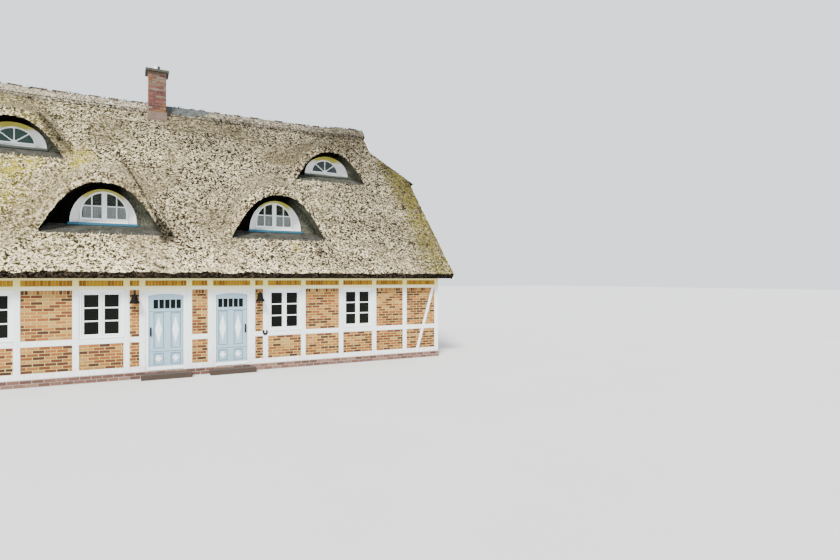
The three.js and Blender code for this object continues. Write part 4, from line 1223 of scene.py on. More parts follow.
def under_roof(z):
    """Half the width of the gable under the thatch at a height."""
    return half_depth - depth_at(z + coat_rise)


def gable_panels():
    """The panels of a gable, each from, to, bottom and top."""
    panels = []
    for run in bays(gable_edges):
        panels.append((*run, sole_top, rail_bottom))
        if not is_window(run, gable_windows):
            panels.append((*run, rail_top, plate_bottom))
        panels.append((*run, plate_top, gable_beam[0]))
    for run in bays([-lower_end] + both_halves((*upper_posts, outer_upper_post)) + [lower_end]):
        panels.append((*run, gable_beam[1], sill_rail[0]))
    for run in bays([-upper_end] + upper_row + [upper_end]):
        if not is_window(run, upper_windows):
            panels.append((*run, sill_rail[1], head_rail[0]))
    for run in bays([-top_end] + upper_row + [top_end]):
        panels.append((*run, head_rail[1], gable_wall_top))
    return panels


def under_thatch(brick):
    """Whether a brick of a gable ends below the thatch. All those under the floor beam do."""
    end, top = abs(brick.along) + brick.long / 2, brick.level + brick.high / 2
    return brick.level < gable_beam[0] or end < under_roof(top) + behind_boards


for side_name, _ in sides:
    laid = []
    for panel in gable_panels():
        laid += courses(panel, luck, on_end=panel[3] == gable_beam[0], phase=luck.random())
    seen = [brick for brick in laid if under_thatch(brick)]
    brickwork(f"{side_name}_gable_bricks", f"{side_name}_gable", seen, wall_brick_paint, "wall_brick", luck)

for node in ("front_wall_right", "front_wall_left", "front_pier", "door_lintel", "back_wall",
             "right_gable_wall", "left_gable_wall"):
    painted(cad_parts[node].data, mortar_paint)


# Timber frame
# Sawn oak, painted white many times: posts run through, and rails, sills and
# plates are tenoned between them. Every arris is slightly rounded by paint.
def white_wood(name, colour, worn, roughness=0.5, stain=None):
    """Oil paint on wood, dirty in its hollows and near the ground, and stained by drips from the reed."""
    box = Paintbox(name, roughness)
    streak = box.grain(5.0, 5.0, 0.62, box.stretched((2.5, 2.5, 1.0)))
    mixed = box.mixed(streak, box.grain(60.0, 2.0, 0.6), 0.7)
    low = box.span(box.axis("Z"), 0.75, 0.1, 0.0, 0.14)
    dirt = box.span(box.plus(mixed, low), 0.52, 0.74, 0.0, 0.55)
    dirty = box.blend(dirt, colour, worn)
    if stain:
        high = box.times(box.span(box.axis("Z"), 2.22, 2.44), box.span(box.axis("Z"), 3.1, 2.7))
        dirty = box.blend(box.times(high, box.span(mixed, 0.3, 0.7, 0.65, 1.0)), dirty, stain)
    return box.finish(dirty, mixed, 0.004, 0.6)


timber_paint = white_wood(
    "white_painted_oak", (0.87, 0.91, 0.91), (0.56, 0.56, 0.52), stain=(0.86, 0.74, 0.15))
window_paint = white_wood("white_window_gloss", (0.93, 0.97, 0.97), (0.66, 0.69, 0.68), 0.35)

timber_depth = (0.0, 0.12)
brace_depth = (0.003, 0.10)
lean_half = 0.05
front_brace, gable_brace = (6.72, 7.31), (4.16, 4.64)


class Joinery:
    """Collects the bars and boards of one piece and joins them in one mesh."""

    def __init__(self, *paints):
        self.paints, self.points, self.faces, self.kinds = paints, [], [], []

    def add(self, points, faces, kind=0):
        first = len(self.points)
        self.points += points
        self.faces += [tuple(first + i for i in face) for face in faces]
        self.kinds += [kind] * len(faces)

    def bar(self, corner, far_corner, arris=0.004, kind=0):
        """A box with its twelve arrises taken off."""
        low, high = np.minimum(corner, far_corner), np.maximum(corner, far_corner)
        arris = min(arris, 0.3 * float(np.min(high - low)))
        points, number = [], {}
        for spot in np.ndindex(2, 2, 2):
            for axis in range(3):
                point = [high[a] - arris if s else low[a] + arris for a, s in enumerate(spot)]
                point[axis] = high[axis] if spot[axis] else low[axis]
                number[spot, axis] = len(points)
                points.append(tuple(point))
        faces = []
        for axis in range(3):
            b, c = (axis + 1) % 3, (axis + 2) % 3
            for s in (0, 1):
                ring = []
                for sb, sc in ((0, 0), (1, 0), (1, 1), (0, 1)):
                    spot = [0, 0, 0]
                    spot[axis], spot[b], spot[c] = s, sb, sc
                    ring.append(number[tuple(spot), axis])
                faces.append(ring if s else ring[::-1])
            for sb, sc in ((0, 0), (1, 0), (1, 1), (0, 1)):
                ends = []
                for s in (0, 1):
                    spot = [0, 0, 0]
                    spot[axis], spot[b], spot[c] = s, sb, sc
                    ends.append(tuple(spot))
                quad = [number[ends[0], b], number[ends[1], b], number[ends[1], c], number[ends[0], c]]
                faces.append(quad if sb == sc else quad[::-1])
        for spot in np.ndindex(2, 2, 2):
            corner_face = [number[spot, axis] for axis in range(3)]
            faces.append(corner_face if sum(spot) % 2 else corner_face[::-1])
        self.add(points, faces, kind)

    def on(self, wall, run, depths, heights, arris=0.004, kind=0):
        """A bar on one wall: a run along it, two depths and two heights."""
        where = wall_faces[wall][0]
        self.bar(where(run[0], depths[0], heights[0]), where(run[1], depths[1], heights[1]), arris, kind)

    def rail(self, wall, run, heights):
        """A level timber of the frame, flush with the wall's face."""
        self.on(wall, run, timber_depth, heights)

    def post(self, wall, centre, heights):
        """An upright timber of the frame, about its centre."""
        self.rail(wall, (centre - post_half, centre + post_half), heights)

    def brace(self, wall, side, foot, head):
        """A straight brace leaning across a corner bay, from the sole to the plate and cut at the rail."""
        where = wall_faces[wall][0]
        inward = np.subtract(where(0, brace_depth[1], 0), where(0, brace_depth[0], 0))
        for heights in ((sole_top, rail_bottom), (rail_top, plate_bottom)):
            outline = []
            for z, edges in zip(heights, ((-lean_half, lean_half), (lean_half, -lean_half))):
                middle = side * (foot + (head - foot) * (z - sole_top) / (plate_bottom - sole_top))
                outline += [where(middle + edge, brace_depth[0], z) for edge in edges]
            self.sweep(outline, (0, 0, 0), inward)

    def sweep(self, outline, start, end, kind=0):
        """A board of any outline, from a start to an end offset."""
        self.add(*swept(outline, start, end), kind)

    def loft(self, lines, kind=0):
        """A closed tube through lines of points side by side, capped where the lines end."""
        rows = numbered_rows(len(lines), len(lines[0]))
        faces = [face for low, high in zip(rows, rows[1:] + rows[:1]) for face in strip(low, high)]
        faces += [tuple(row[end] for row in rows) for end in (0, -1)]
        self.add([tuple(point) for line in lines for point in line], faces, kind)

    def mesh(self, name):
        """Everything collected so far, as one mesh."""
        return facing_out(solid_mesh(name, self.points, self.faces, self.paints, self.kinds))

    def piece(self, name, body, slot, *stands_for):
        return add_piece(name, self.mesh(name), body, slot, *stands_for)


doorway_edge = 1.33
whole_run = (-half_length, half_length)
for side_name, hand in sides:
    frame_half = Joinery(timber_paint)
    for centre in post_centres[1:]:
        frame_half.post("front", hand * centre, (sole_top, plate_bottom))
    frame_half.rail("front", (hand * doorway_edge, hand * half_length), (plinth_top, sole_top))
    for run in bays(post_centres[1:], hand):
        frame_half.rail("front", run, (rail_bottom, rail_top))
    frame_half.brace("front", hand, *front_brace)
    frame_half.piece(f"front_timbers_{side_name}", "root", "white_timber", f"front_frame_{side_name}")

plate = Joinery(timber_paint)
plate.rail("front", whole_run, (plate_bottom, plate_top))
plate.rail("front", whole_run, (stub_top, wall_top))
for centre in whole_row:
    plate.post("front", centre, (plate_top, stub_top))
for _, hand in sides:
    plate.post("front", hand * post_centres[0], (plinth_top, plate_bottom))
plate.rail("front", middle_run, (rail_bottom, rail_top))
plate.rail("front", middle_run, (plinth_top, sole_top))
plate.piece("front_wall_plate", "root", "white_timber", "front_plate")


# Casement windows
# Two painted sashes side by side in a ring let into the bay, each sash with
# its own glazing bars, and panes of old thin glass puttied in.
def pane_paint(name, dark, light, alpha, gloss, left_reflection=None):
    """Old drawn glass, a little wavy, painted dark as the shade of the room behind, and greener on the left
    where that is said, a painted reflection.
    """
    box = Paintbox(name, 0.06)
    box.shader.inputs["IOR"].default_value = 1.52
    box.shader.inputs["Specular IOR Level"].default_value = gloss
    box.shader.inputs["Alpha"].default_value = alpha
    colour = box.ramp(box.grain(0.9, 2.0, 0.5), (0.35, dark), (0.65, light))
    if left_reflection:
        colour = box.blend(box.span(box.axis("X"), -1.0, 1.0), left_reflection, colour)
    return box.finish(colour, box.grain(3.0, 1.0, 0.5), 0.01, 0.12)


# Painted shade of the dark rooms in the panes; the attic panes are also painted blue-grey as a painted
# reflection of the sky.
glass_paint = pane_paint("window_glass", (0.0008, 0.001, 0.0008), (0.004, 0.006, 0.003), 0.94, 0.10)
attic_glass_paint = pane_paint("attic_glass", (0.010, 0.024, 0.024), (0.05, 0.075, 0.095), 0.92, 0.35,
                               left_reflection=(0.012, 0.05, 0.038))
veiled_glass_paint = pane_paint("curtained_glass", (0.01, 0.02, 0.01), (0.04, 0.06, 0.04), 0.28, 0.35)
slate_box = Paintbox("slate_sill", 0.6)
slate_colour = slate_box.ramp(slate_box.grain(14.0), (0.3, (0.09, 0.11, 0.12)), (0.7, (0.20, 0.23, 0.25)))
slate_paint = slate_box.finish(slate_colour, slate_box.grain(60.0), 0.002)


ring_width, stile, bar_width = 0.056, 0.044, 0.032
top_rail, mullion_half = stile * 1.3, 0.018
play, rebate = 0.003, 0.006
ring_depth, mullion_depth = (0.024, 0.118), (0.030, 0.110)
sash_depth, bar_depth, pane_depth = (0.044, 0.086), (0.048, 0.082), (0.066, 0.071)
ring_arris, sash_arris, pane_arris = 0.007, 0.006, 0.0008
bead_inset, bead_depth, bead_low, bead_high = 0.01, (-0.012, 0.05), 0.004, 0.03
sill_reach, sill_depth, sill_half_thick = 0.02, (-0.035, 0.06), 0.012


def casement(wood, glass, wall, run, heights, rows, sill=False):
    """Two sashes with rows of one pane each, in a ring between two posts, over a bead or a sill."""
    (u0, u1), (z0, z1) = run, heights
    left_edge, right_edge, bottom, top = u0 + ring_width, u1 - ring_width, z0 + ring_width, z1 - ring_width
    for edge in ((u0, left_edge), (right_edge, u1)):
        wood.on(wall, edge, ring_depth, (z0, z1), ring_arris)
    for edge in ((z0, bottom), (top, z1)):
        wood.on(wall, (left_edge, right_edge), ring_depth, edge, ring_arris)
    middle = (u0 + u1) / 2
    wood.on(wall, (middle - mullion_half, middle + mullion_half), mullion_depth, (bottom, top))
    clear_low, clear_high = bottom + play + stile, top - play - top_rail
    for left, right in ((left_edge, middle - mullion_half), (middle + mullion_half, right_edge)):
        a, b = left + play, right - play
        between = (a + stile, b - stile)
        for edge in ((a, between[0]), (between[1], b)):
            wood.on(wall, edge, sash_depth, (bottom + play, top - play), sash_arris)
        for edge in ((bottom + play, clear_low), (clear_high, top - play)):
            wood.on(wall, between, sash_depth, edge, sash_arris)
        for row in range(1, rows):
            z = clear_low + (clear_high - clear_low) * row / rows
            wood.on(wall, between, bar_depth, (z - bar_width / 2, z + bar_width / 2), sash_arris)
        glass.on(wall, (between[0] - rebate, between[1] + rebate), pane_depth,
                 (clear_low - rebate, clear_high + rebate), pane_arris)
    wood.on(wall, (u0 + bead_inset, u1 - bead_inset), bead_depth, (z0 + bead_low, z0 + bead_high))
    if sill:
        wood.on(wall, (u0 - sill_reach, u1 + sill_reach), sill_depth,
                (z0 - sill_half_thick, z0 + sill_half_thick), kind=1)


ground_heights = (rail_top, plate_bottom)
for side_name, hand in sides:
    glass = Joinery(glass_paint)
    for place_name, (a, b) in zip(("inner", "outer"), front_window_bays):
        run = sorted((hand * (a + post_half), hand * (b - post_half)))
        wood = Joinery(window_paint, slate_paint)
        casement(wood, glass, "front", run, ground_heights, 3)
        wood.piece(f"front_casement_{side_name}_{place_name}", "root", "window_white",
                   f"front_window_{side_name}_{place_name}")
    glass.piece(f"front_panes_{side_name}", "root", "glass", f"front_glass_{side_name}")

back_wood = Joinery(timber_paint, slate_paint)
back_panes = Joinery(glass_paint)
for heights in ((plinth_top, sole_top), (plate_bottom, plate_top), (stub_top, wall_top)):
    back_wood.rail("back", whole_run, heights)
for centre in whole_row:
    for heights in ((sole_top, plate_bottom), (plate_top, stub_top)):
        back_wood.post("back", centre, heights)
for run in bays(whole_row):
    back_wood.rail("back", run, (rail_bottom, rail_top))
    if is_window(run, back_window_bays):
        casement(back_wood, back_panes, "back", run, ground_heights, 3)
back_wood.piece("back_timbers_and_casements", "root", "white_timber", "back_frame")
back_panes.piece("back_panes", "root", "glass", "back_glass")


# Gable frames and windows
# The same framing with a deep floor beam across, four windows on each storey,
# and braces in the corner bays.
beam_reach = half_depth - wall_thickness
upper_storeys = ((gable_beam[1], sill_rail[0]), (sill_rail[1], head_rail[0]), (head_rail[1], gable_wall_top))
for side_name, _ in sides:
    wall = f"{side_name}_gable"
    wood = Joinery(timber_paint, slate_paint)
    panes = {"ground": Joinery(glass_paint), "upper": Joinery(glass_paint)}
    for heights in ((plinth_top, sole_top), (plate_bottom, plate_top)):
        wood.rail(wall, (-gable_corner, gable_corner), heights)
    wood.rail(wall, (-beam_reach, beam_reach), gable_beam)
    for centre in gable_row:
        for heights in ((sole_top, plate_bottom), (plate_top, gable_beam[0])):
            wood.post(wall, centre, heights)
    for run in bays(gable_edges):
        wood.rail(wall, run, (rail_bottom, rail_top))
        if is_window(run, gable_windows):
            casement(wood, panes["ground"], wall, run, ground_heights, 3)
    for end in (1, -1):
        wood.brace(wall, end, *gable_brace)
    for low, high in upper_storeys:
        tall = min(high, gable_wall_top - 0.01)
        for centre in upper_row:
            if abs(centre) + post_half < under_roof(tall) or high <= head_rail[0]:
                wood.post(wall, centre, (low, tall))
    for end in (1, -1):
        wood.post(wall, end * outer_upper_post, upper_storeys[0])
    for heights in (sill_rail, head_rail):
        reach = under_roof(heights[1]) - 0.01
        wood.rail(wall, (-reach, reach), heights)
    for run in bays(upper_row):
        if is_window(run, upper_windows):
            casement(wood, panes["upper"], wall, run, upper_storeys[1], 2, sill=True)
    wood.piece(f"{side_name}_gable_timbers_and_casements", "root", "white_timber", f"{side_name}_gable_frame")
    for storey, glass in panes.items():
        glass.piece(f"{side_name}_gable_panes_{storey}", "root", "glass", f"{side_name}_gable_glass_{storey}")


# Dormer windows
# A white lining that splays in from the thatch to a glazed frame with an
# arched head: below, two sashes of four panes; above, a fanlight.
dormer_frames = {
    "lower": dict(half=0.565, foot=4.20, crown=4.985, stilt=0.20),
    "upper": dict(half=0.515, foot=6.465, crown=6.955, stilt=0.02),
}


def arch_line(half, foot, crown, stilt, depth, count=26):
    """Points up one jamb, over the arch and down the other, at one depth."""
    angles = np.linspace(0, math.pi, count + 1)
    rise = crown - foot - stilt
    line = [(half, depth, foot)]
    line += [(half * math.cos(a), depth, foot + stilt + rise * math.sin(a)) for a in angles]
    return line + [(-half, depth, foot)]


def arch_height(frame_size, u, inset=0.0):
    """How high the arched head stands at a distance from its middle."""
    half = frame_size["half"] - inset
    rise = frame_size["crown"] - inset - frame_size["foot"] - frame_size["stilt"]
    return frame_size["foot"] + frame_size["stilt"] + rise * math.sqrt(max(0.0, 1 - (u / half) ** 2))


lining_box = Paintbox("dormer_lining_paint", 0.5)
lining_grain = lining_box.mixed(lining_box.grain(6.0), lining_box.grain(30.0))
stain_level = lining_box.plus(lining_box.attribute("crown"), lining_box.times(lining_grain, 0.5))
stain_share = lining_box.span(stain_level, 0.93, 1.08, 0.0, 0.95)
clean_lining = lining_box.ramp(lining_grain, (0.3, (0.74, 0.75, 0.72)), (0.6, (0.90, 0.90, 0.88)))
stained_lining = lining_box.ramp(lining_grain, (0.35, (0.48, 0.34, 0.004)), (0.6, (0.42, 0.42, 0.01)))
lining_paint = lining_box.finish(
    lining_box.blend(stain_share, clean_lining, stained_lining), lining_grain, 0.003)
blue_sill_paint = white_wood("blue_sill_gloss", (0.006, 0.095, 0.16), (0.03, 0.12, 0.17), 0.6)
green_sill_paint = white_wood("grey_green_sill", (0.035, 0.045, 0.035), (0.07, 0.075, 0.06), 0.7)
pane_inset, arch_inset = 0.03, 0.02
dormer_pane_depth = (0.216, 0.220)
sash_bar_half, meeting_half, lower_bar_height = 0.014, 0.062, 4.585


def set_in_roof(mesh, x):
    """Moves a mesh made in (distance from the hood's middle, depth, height) to its place."""
    return moved(mesh, points_of(mesh) + (x, -half_depth, 0))


def dormer_wood(storey, hood, size, side):
    """The lining of one dormer, with its arched frame, bars and sill."""
    wood = Joinery(lining_paint, window_paint, blue_sill_paint if storey == "lower" else green_sill_paint)
    back, sill, foot = hood["back"], hood["sill"], size["foot"]
    front, glazing, inside = back - 0.02, back + 0.175, back + 0.26
    edge, overlap = 0.028, 0.012
    outer = dict(half=hood["window_half"], foot=sill, crown=sill + hood["window_rise"], stilt=0.03)
    lip = dict(outer, half=outer["half"] - edge, crown=outer["crown"] - edge * 0.6)
    throat = dict(size, half=size["half"] + overlap, foot=sill, crown=size["crown"] + 0.006)
    wood.loft([arch_line(**outer, depth=front), arch_line(**lip, depth=front),
               arch_line(**throat, depth=glazing), arch_line(**throat, depth=inside),
               arch_line(**outer, depth=inside)])
    board_end, board_top, board_bottom = inside - 0.01, foot + 0.002, sill + 0.012
    sill_board = [(0, front + 0.004, board_bottom), (0, glazing + 0.004, board_top),
                  (0, board_end, board_top), (0, board_end, board_bottom)]
    wood.sweep(sill_board, (-throat["half"], 0, 0), (throat["half"], 0, 0))

    frame_wide = 0.042
    sash = (back + 0.185, back + 0.245)
    bars = (sash[0] + 0.006, sash[1] - 0.01)
    inner = dict(size, half=size["half"] - frame_wide, crown=size["crown"] - frame_wide)
    wood.loft([arch_line(**size, depth=sash[0]), arch_line(**inner, depth=sash[0]),
               arch_line(**inner, depth=sash[1]), arch_line(**size, depth=sash[1])], 1)
    wood.bar((-inner["half"], sash[0], foot), (inner["half"], sash[1], foot + 0.055), kind=1)
    low = foot + 0.05
    if storey == "lower":
        wood.bar((-meeting_half, sash[0] - 0.012, low),
                 (meeting_half, sash[1], arch_height(size, 0.0, arch_inset)), kind=1)
        for hand in (1, -1):
            u = hand * (meeting_half + inner["half"]) / 2
            wood.bar((u - sash_bar_half, bars[0], low),
                     (u + sash_bar_half, bars[1], arch_height(size, u, arch_inset)), kind=1)
            wood.bar((hand * 0.05, bars[0], lower_bar_height - sash_bar_half),
                     (hand * (inner["half"] + 0.01), bars[1], lower_bar_height + sash_bar_half), kind=1)
    else:
        hub, hub_half, hub_rise, longest_ray = np.array([0, 0, low]), 0.075, 0.07, 0.5
        arch_half, arch_rise = size["half"] - arch_inset, size["crown"] - arch_inset - low
        for angle in np.radians((90, 38, 142)):
            ray = np.array([math.cos(angle), 0, math.sin(angle)])
            tip = hub + ray * min(longest_ray, 1 / math.hypot(ray[0] / arch_half, ray[2] / arch_rise))
            across = np.array([-ray[2], 0, ray[0]]) * sash_bar_half
            corners = [hub + across, hub - across, tip - across, tip + across]
            wood.sweep(corners, (0, bars[0], 0), (0, bars[1], 0), 1)
        half_disc = half_round(0, low, hub_half, hub_rise, 12)
        wood.sweep(half_disc, (0, sash[0] - 0.004, 0), (0, sash[1] - 0.004, 0), 1)

    sill_half = hood["window_half"] + 0.035
    sill_low, sill_high = sill - 0.058, sill + 0.024
    nose_tip, nose_edge = back - 0.088, back - 0.075
    nose = [(0, nose_tip, sill_low + 0.012), (0, nose_edge, sill_low), (0, back, sill_low),
            (0, back, sill_high), (0, nose_edge, sill_high - 0.006), (0, nose_tip, sill_high - 0.02)]
    wood.sweep(nose, (-sill_half, 0, 0), (sill_half, 0, 0), 2)
    mesh = wood.mesh(f"dormer_{storey}")
    store(mesh, "crown", (points_of(mesh)[:, 2] - sill) / hood["window_rise"])
    return set_in_roof(mesh, side * hood["x"])


for storey, hood in hoods.items():
    size = dormer_frames[storey]
    pane_size = dict(size, half=size["half"] - pane_inset, foot=size["foot"] + pane_inset,
                     crown=size["crown"] - pane_inset)
    for side_name, hand in sides:
        add_piece(f"{side_name}_{storey}_dormer_joinery", dormer_wood(storey, hood, size, hand), "root",
                  "window_white", f"{side_name}_{storey}_dormer_window")
        panes = Joinery(veiled_glass_paint if storey == "lower" else attic_glass_paint)
        pane_front, pane_back = ((0, hood["back"] + depth, 0) for depth in dormer_pane_depth)
        panes.sweep(arch_line(**pane_size, depth=0.0), pane_front, pane_back)
        add_piece(f"{side_name}_{storey}_dormer_panes", set_in_roof(panes.mesh("panes"), hand * hood["x"]),
                  "root", "glass", f"{side_name}_{storey}_dormer_glass")


# Net curtains
# White cotton gathered on a rod behind the lower half of each lower dormer
# window, in soft upright folds.
net_box = Paintbox("white_cotton_net", 0.9)
net_weave = net_box.grain(70.0, 2.0, 0.6, net_box.stretched((1.0, 1.0, 0.3)))
net_paint = net_box.finish(
    net_box.ramp(net_weave, (0.35, (0.66, 0.70, 0.70)), (0.7, (0.88, 0.90, 0.90))), net_weave, 0.002)


def gathered_curtain(half, low, high, depth, folds, swing, thickness=0.0012, drawn_in=0.35):
    """A thin sheet in a wave along the rod, its folds a little uneven, and its width laid flat."""
    count = folds * 12
    shares = np.linspace(0, 1, count + 1)
    turns = shares * folds * 2 * math.pi
    wave = np.sin(turns) * swing * (1 + 0.25 * np.sin(shares * 17.0))
    us = -half + 2 * half * shares + 0.006 * np.sin(turns + 1.2)
    levels = np.linspace(low, high, 9)
    points = []
    for out in (0.0, thickness):
        for z in levels:
            fullness = 1.0 - drawn_in * (z - low) / (high - low)
            points += [(u, depth + out + w * fullness, z) for u, w in zip(us, wave)]
    rows = numbered_rows(2 * len(levels), count + 1)
    front, back = rows[:len(levels)], rows[len(levels):]
    faces = []
    for layer in (front, back):
        for low_row, high_row in zip(layer, layer[1:]):
            faces += strip(low_row, high_row)
    for end in (0, -1):
        faces += strip(front[end], back[end])
        faces += strip([row[end] for row in front], [row[end] for row in back])
    widths = [np.sum(np.hypot(np.diff(us), np.diff(wave * (1.0 - drawn_in * up)))) for up in (0, 0.5, 1)]
    return facing_out(solid_mesh("curtain", points, faces, [net_paint])), float(np.mean(widths))


curtain_low, curtain_high = 4.262, 4.572
curtain_half, rod_half, rod_end, rod_radius, clip_half = 0.52, 0.53, 0.525, 0.006, 0.01
rail_depth = hoods["lower"]["back"] + 0.275
for side_name, hand in sides:
    rail = Joinery(window_paint)
    rail.bar((-rod_half, rail_depth - rod_radius, curtain_high - rod_radius),
             (rod_half, rail_depth + rod_radius, curtain_high + rod_radius))
    for end in (-rod_end, rod_end):
        rail.bar((end - clip_half, rail_depth - 0.035, curtain_high - clip_half),
                 (end + clip_half, rail_depth + clip_half, curtain_high + clip_half))
    rod_name = f"{side_name}_curtain_rod"
    add_piece(rod_name, set_in_roof(rail.mesh("rod"), hand * hoods["lower"]["x"]), "root", "window_white")
    cloth, flat_width = gathered_curtain(
        curtain_half, curtain_low, curtain_high, rail_depth, folds=26, swing=0.013)
    curtain = add_piece(f"{side_name}_dormer_curtain", set_in_roof(cloth, hand * hoods["lower"]["x"]), "root",
                        None)


# Front doors
# Framed and panelled leaves of painted pine with an arched head, five panes,
# raised white lozenges on the panels, and a weatherboard at the foot.
door_paint = white_wood("pale_blue_grey_door", (0.31, 0.46, 0.55), (0.22, 0.34, 0.41), 0.4)
lozenge_paint = white_wood("white_lozenges", (0.86, 0.92, 0.94), (0.62, 0.68, 0.70), 0.4)
moulding_paint = white_wood("shadowed_door_moulding", (0.17, 0.25, 0.31), (0.12, 0.18, 0.22), 0.5)
iron_box = Paintbox("black_iron", 0.75)
iron_box.shader.inputs["Specular IOR Level"].default_value = 0.12
iron_paint = iron_box.two_tone(
    iron_box.grain(40.0, 3.0), (0.35, (0.002, 0.002, 0.0022)), (0.75, (0.010, 0.008, 0.007)), 0.001)
leaf_inner, leaf_outer = 0.405, 1.262
leaf_foot = 0.185
leaf_spring, leaf_crown = 2.17, 2.22
leaf_face, leaf_back = 0.04, 0.09
leaf_middle = (leaf_inner + leaf_outer) / 2
sunk_face = leaf_face + 0.020
planted = leaf_face + 0.002
panel_middle = leaf_middle - 0.028
panel_runs = [(panel_middle - 0.33, panel_middle - 0.08), (panel_middle + 0.08, panel_middle + 0.33)]
panel_heights = [(0.76, 1.72), (0.33, 0.64)]
pane_half, pane_step, pane_low, pane_high = 0.058, 0.138, 1.815, 2.055
pane_middles = [panel_middle + place * pane_step for place in (-2, -1, 0, 1, 2)]


def arched_head(x0, x1, foot, lift=0.0, count=12):
    """The outline of a door with a low arched head, in x and z."""
    middle, half = (x0 + x1) / 2, (x1 - x0) / 2
    line = [(x0, 0, foot), (x1, 0, foot)]
    for share in np.linspace(1, -1, count + 1):
        rise = (leaf_crown - leaf_spring) * (1 - share * share)
        line.append((middle + share * half, 0, leaf_spring + lift + rise))
    return line


def arched_rim(inset):
    """The edge of the leaf up one side, over the arch and down the other, set in a little."""
    line = arched_head(leaf_inner + inset, leaf_outer - inset, leaf_foot + 0.01, -inset)
    return line[1:] + line[:1]


def raised_frame(joinery, x0, x1, z0, z1, depth, width=0.016, proud=0.012, kind=0):
    """Four mouldings round a panel or a pane, planted on a face at a depth."""
    for a, b, c, d in ((x0, x0 + width, z0, z1), (x1 - width, x1, z0, z1),
                       (x0 + width, x1 - width, z0, z0 + width), (x0 + width, x1 - width, z1 - width, z1)):
        joinery.bar((a, depth - proud, c), (b, depth + 0.002, d), 0.005, kind)


def lozenge(joinery, x, z, half_wide, half_high, depth, proud=0.012, kind=1):
    """A flat-topped pyramid on four points, its top smaller by two shares."""
    top_wide, top_high = 0.72, 0.8
    foot = [(x - half_wide, depth + 0.002, z), (x, depth + 0.002, z - half_high),
            (x + half_wide, depth + 0.002, z), (x, depth + 0.002, z + half_high)]
    top = [(x + (px - x) * top_wide, depth - proud, z + (pz - z) * top_high) for px, _, pz in foot]
    foot_row, top_row = numbered_rows(2, 4)
    joinery.add(foot + top, [tuple(foot_row), tuple(top_row)] + strip(foot_row, top_row, closed=True), kind)


def mirrored(mesh, side):
    """The mesh, turned over to the left of the house where the side is -1, at the front wall."""
    return facing_out(moved(mesh, points_of(mesh) * (side, 1, 1) + (0, -half_depth, 0)))


def door_leaf():
    """The leaf with its panels and panes cut out, and the trim planted on its face."""
    outline = arched_head(leaf_inner, leaf_outer, leaf_foot)
    board = painted(prism(outline, (0, leaf_face, 0), (0, leaf_back, 0)), door_paint)
    holes = [box_mesh((a, 0, c), (b, sunk_face, d)) for a, b in panel_runs for c, d in panel_heights]
    holes += [box_mesh((x - pane_half, 0, pane_low), (x + pane_half, 1, pane_high)) for x in pane_middles]
    board = carve(board, [painted(hole, door_paint) for hole in holes])

    trim = Joinery(door_paint, lozenge_paint, window_paint, moulding_paint)
    outer, inner = arched_rim(0.005), arched_rim(0.024)
    raised, fixed = (0, leaf_face - 0.004, 0), (0, planted, 0)
    edges = ((outer, raised), (inner, raised), (inner, fixed), (outer, fixed))
    trim.loft([[tuple(np.add(point, offset)) for point in line] for line, offset in edges], 3)
    inset = 0.022
    for a, b in panel_runs:
        for c, d in panel_heights:
            raised_frame(trim, a, b, c, d, sunk_face, 0.014, 0.012, 3)
            raised_frame(trim, a + inset, b - inset, c + inset, d - inset, sunk_face, 0.010, 0.010)
        lozenge(trim, (a + b) / 2, 1.24, 0.092, 0.385, sunk_face, 0.016)
        lozenge(trim, (a + b) / 2, 0.485, 0.088, 0.105, sunk_face, 0.016)
    round_pane = 0.006
    for x in pane_middles:
        raised_frame(trim, x - pane_half - round_pane, x + pane_half + round_pane,
                     pane_low - round_pane, pane_high + round_pane, leaf_face, 0.008, 0.006)
    left, right = leaf_inner + 0.03, leaf_outer - 0.03
    for low, high in ((1.745, 1.775), (0.69, 0.72)):
        trim.bar((left, leaf_face - 0.012, low), (right, planted, high), 0.005)
        trim.bar((left, leaf_face - 0.003, low - 0.014), (right, planted, low), 0.001, 3)
    drip_top, drip_bottom, drip_nose = leaf_foot + 0.10, leaf_foot + 0.01, leaf_face - 0.026
    drip = [(0, planted, drip_top), (0, leaf_face - 0.008, drip_top), (0, drip_nose, leaf_foot + 0.035),
            (0, drip_nose, drip_bottom), (0, planted, drip_bottom)]
    trim.sweep(drip, (leaf_inner + 0.006, 0, 0), (leaf_outer - 0.006, 0, 0), 2)
    return joined("leaf", board, trim.mesh("trim"))


def door_iron():
    """A long plate with rounded ends and an upright grip, on both faces."""
    iron = Joinery(iron_paint)
    x = leaf_outer - 0.06
    half, low, high = 0.02, 1.08, 1.33
    stem_half, grip_half = 0.008, 0.010
    plate_line = []
    for centre, turn in ((high - half, 0), (low + half, math.pi)):
        angles = np.linspace(turn, turn + math.pi, 9)
        plate_line += [(x + half * math.cos(a), 0, centre + half * math.sin(a)) for a in angles]
    for face, out in ((leaf_face, -1), (leaf_back, 1)):
        iron.sweep(plate_line, (0, face, 0), (0, face + out * 0.007, 0))
        for z in (1.12, 1.20, 1.29):
            iron.bar((x - stem_half, face + out * 0.005, z - stem_half),
                     (x + stem_half, face + out * 0.042, z + stem_half), 0.003)
        iron.bar((x - grip_half, face + out * 0.036, 1.105),
                 (x + grip_half, face + out * 0.053, 1.305), 0.005)
    return iron.mesh("iron")


for side_name, hand in sides:
    body = f"{side_name}_door"
    add_piece(f"{side_name}_door_panelled_leaf", mirrored(door_leaf(), hand), body, "door_paint",
              f"{side_name}_door_leaf")
    panes = Joinery(glass_paint)
    panes.bar((leaf_middle - 0.362, 0.060, 1.812), (leaf_middle + 0.306, 0.065, 2.058), 0.0008)
    add_piece(f"{side_name}_door_panes", mirrored(panes.mesh("panes"), hand), body, "glass",
              f"{side_name}_door_glass")
    add_piece(f"{side_name}_door_iron", mirrored(door_iron(), hand), body, "black_iron",
              f"{side_name}_door_handle")


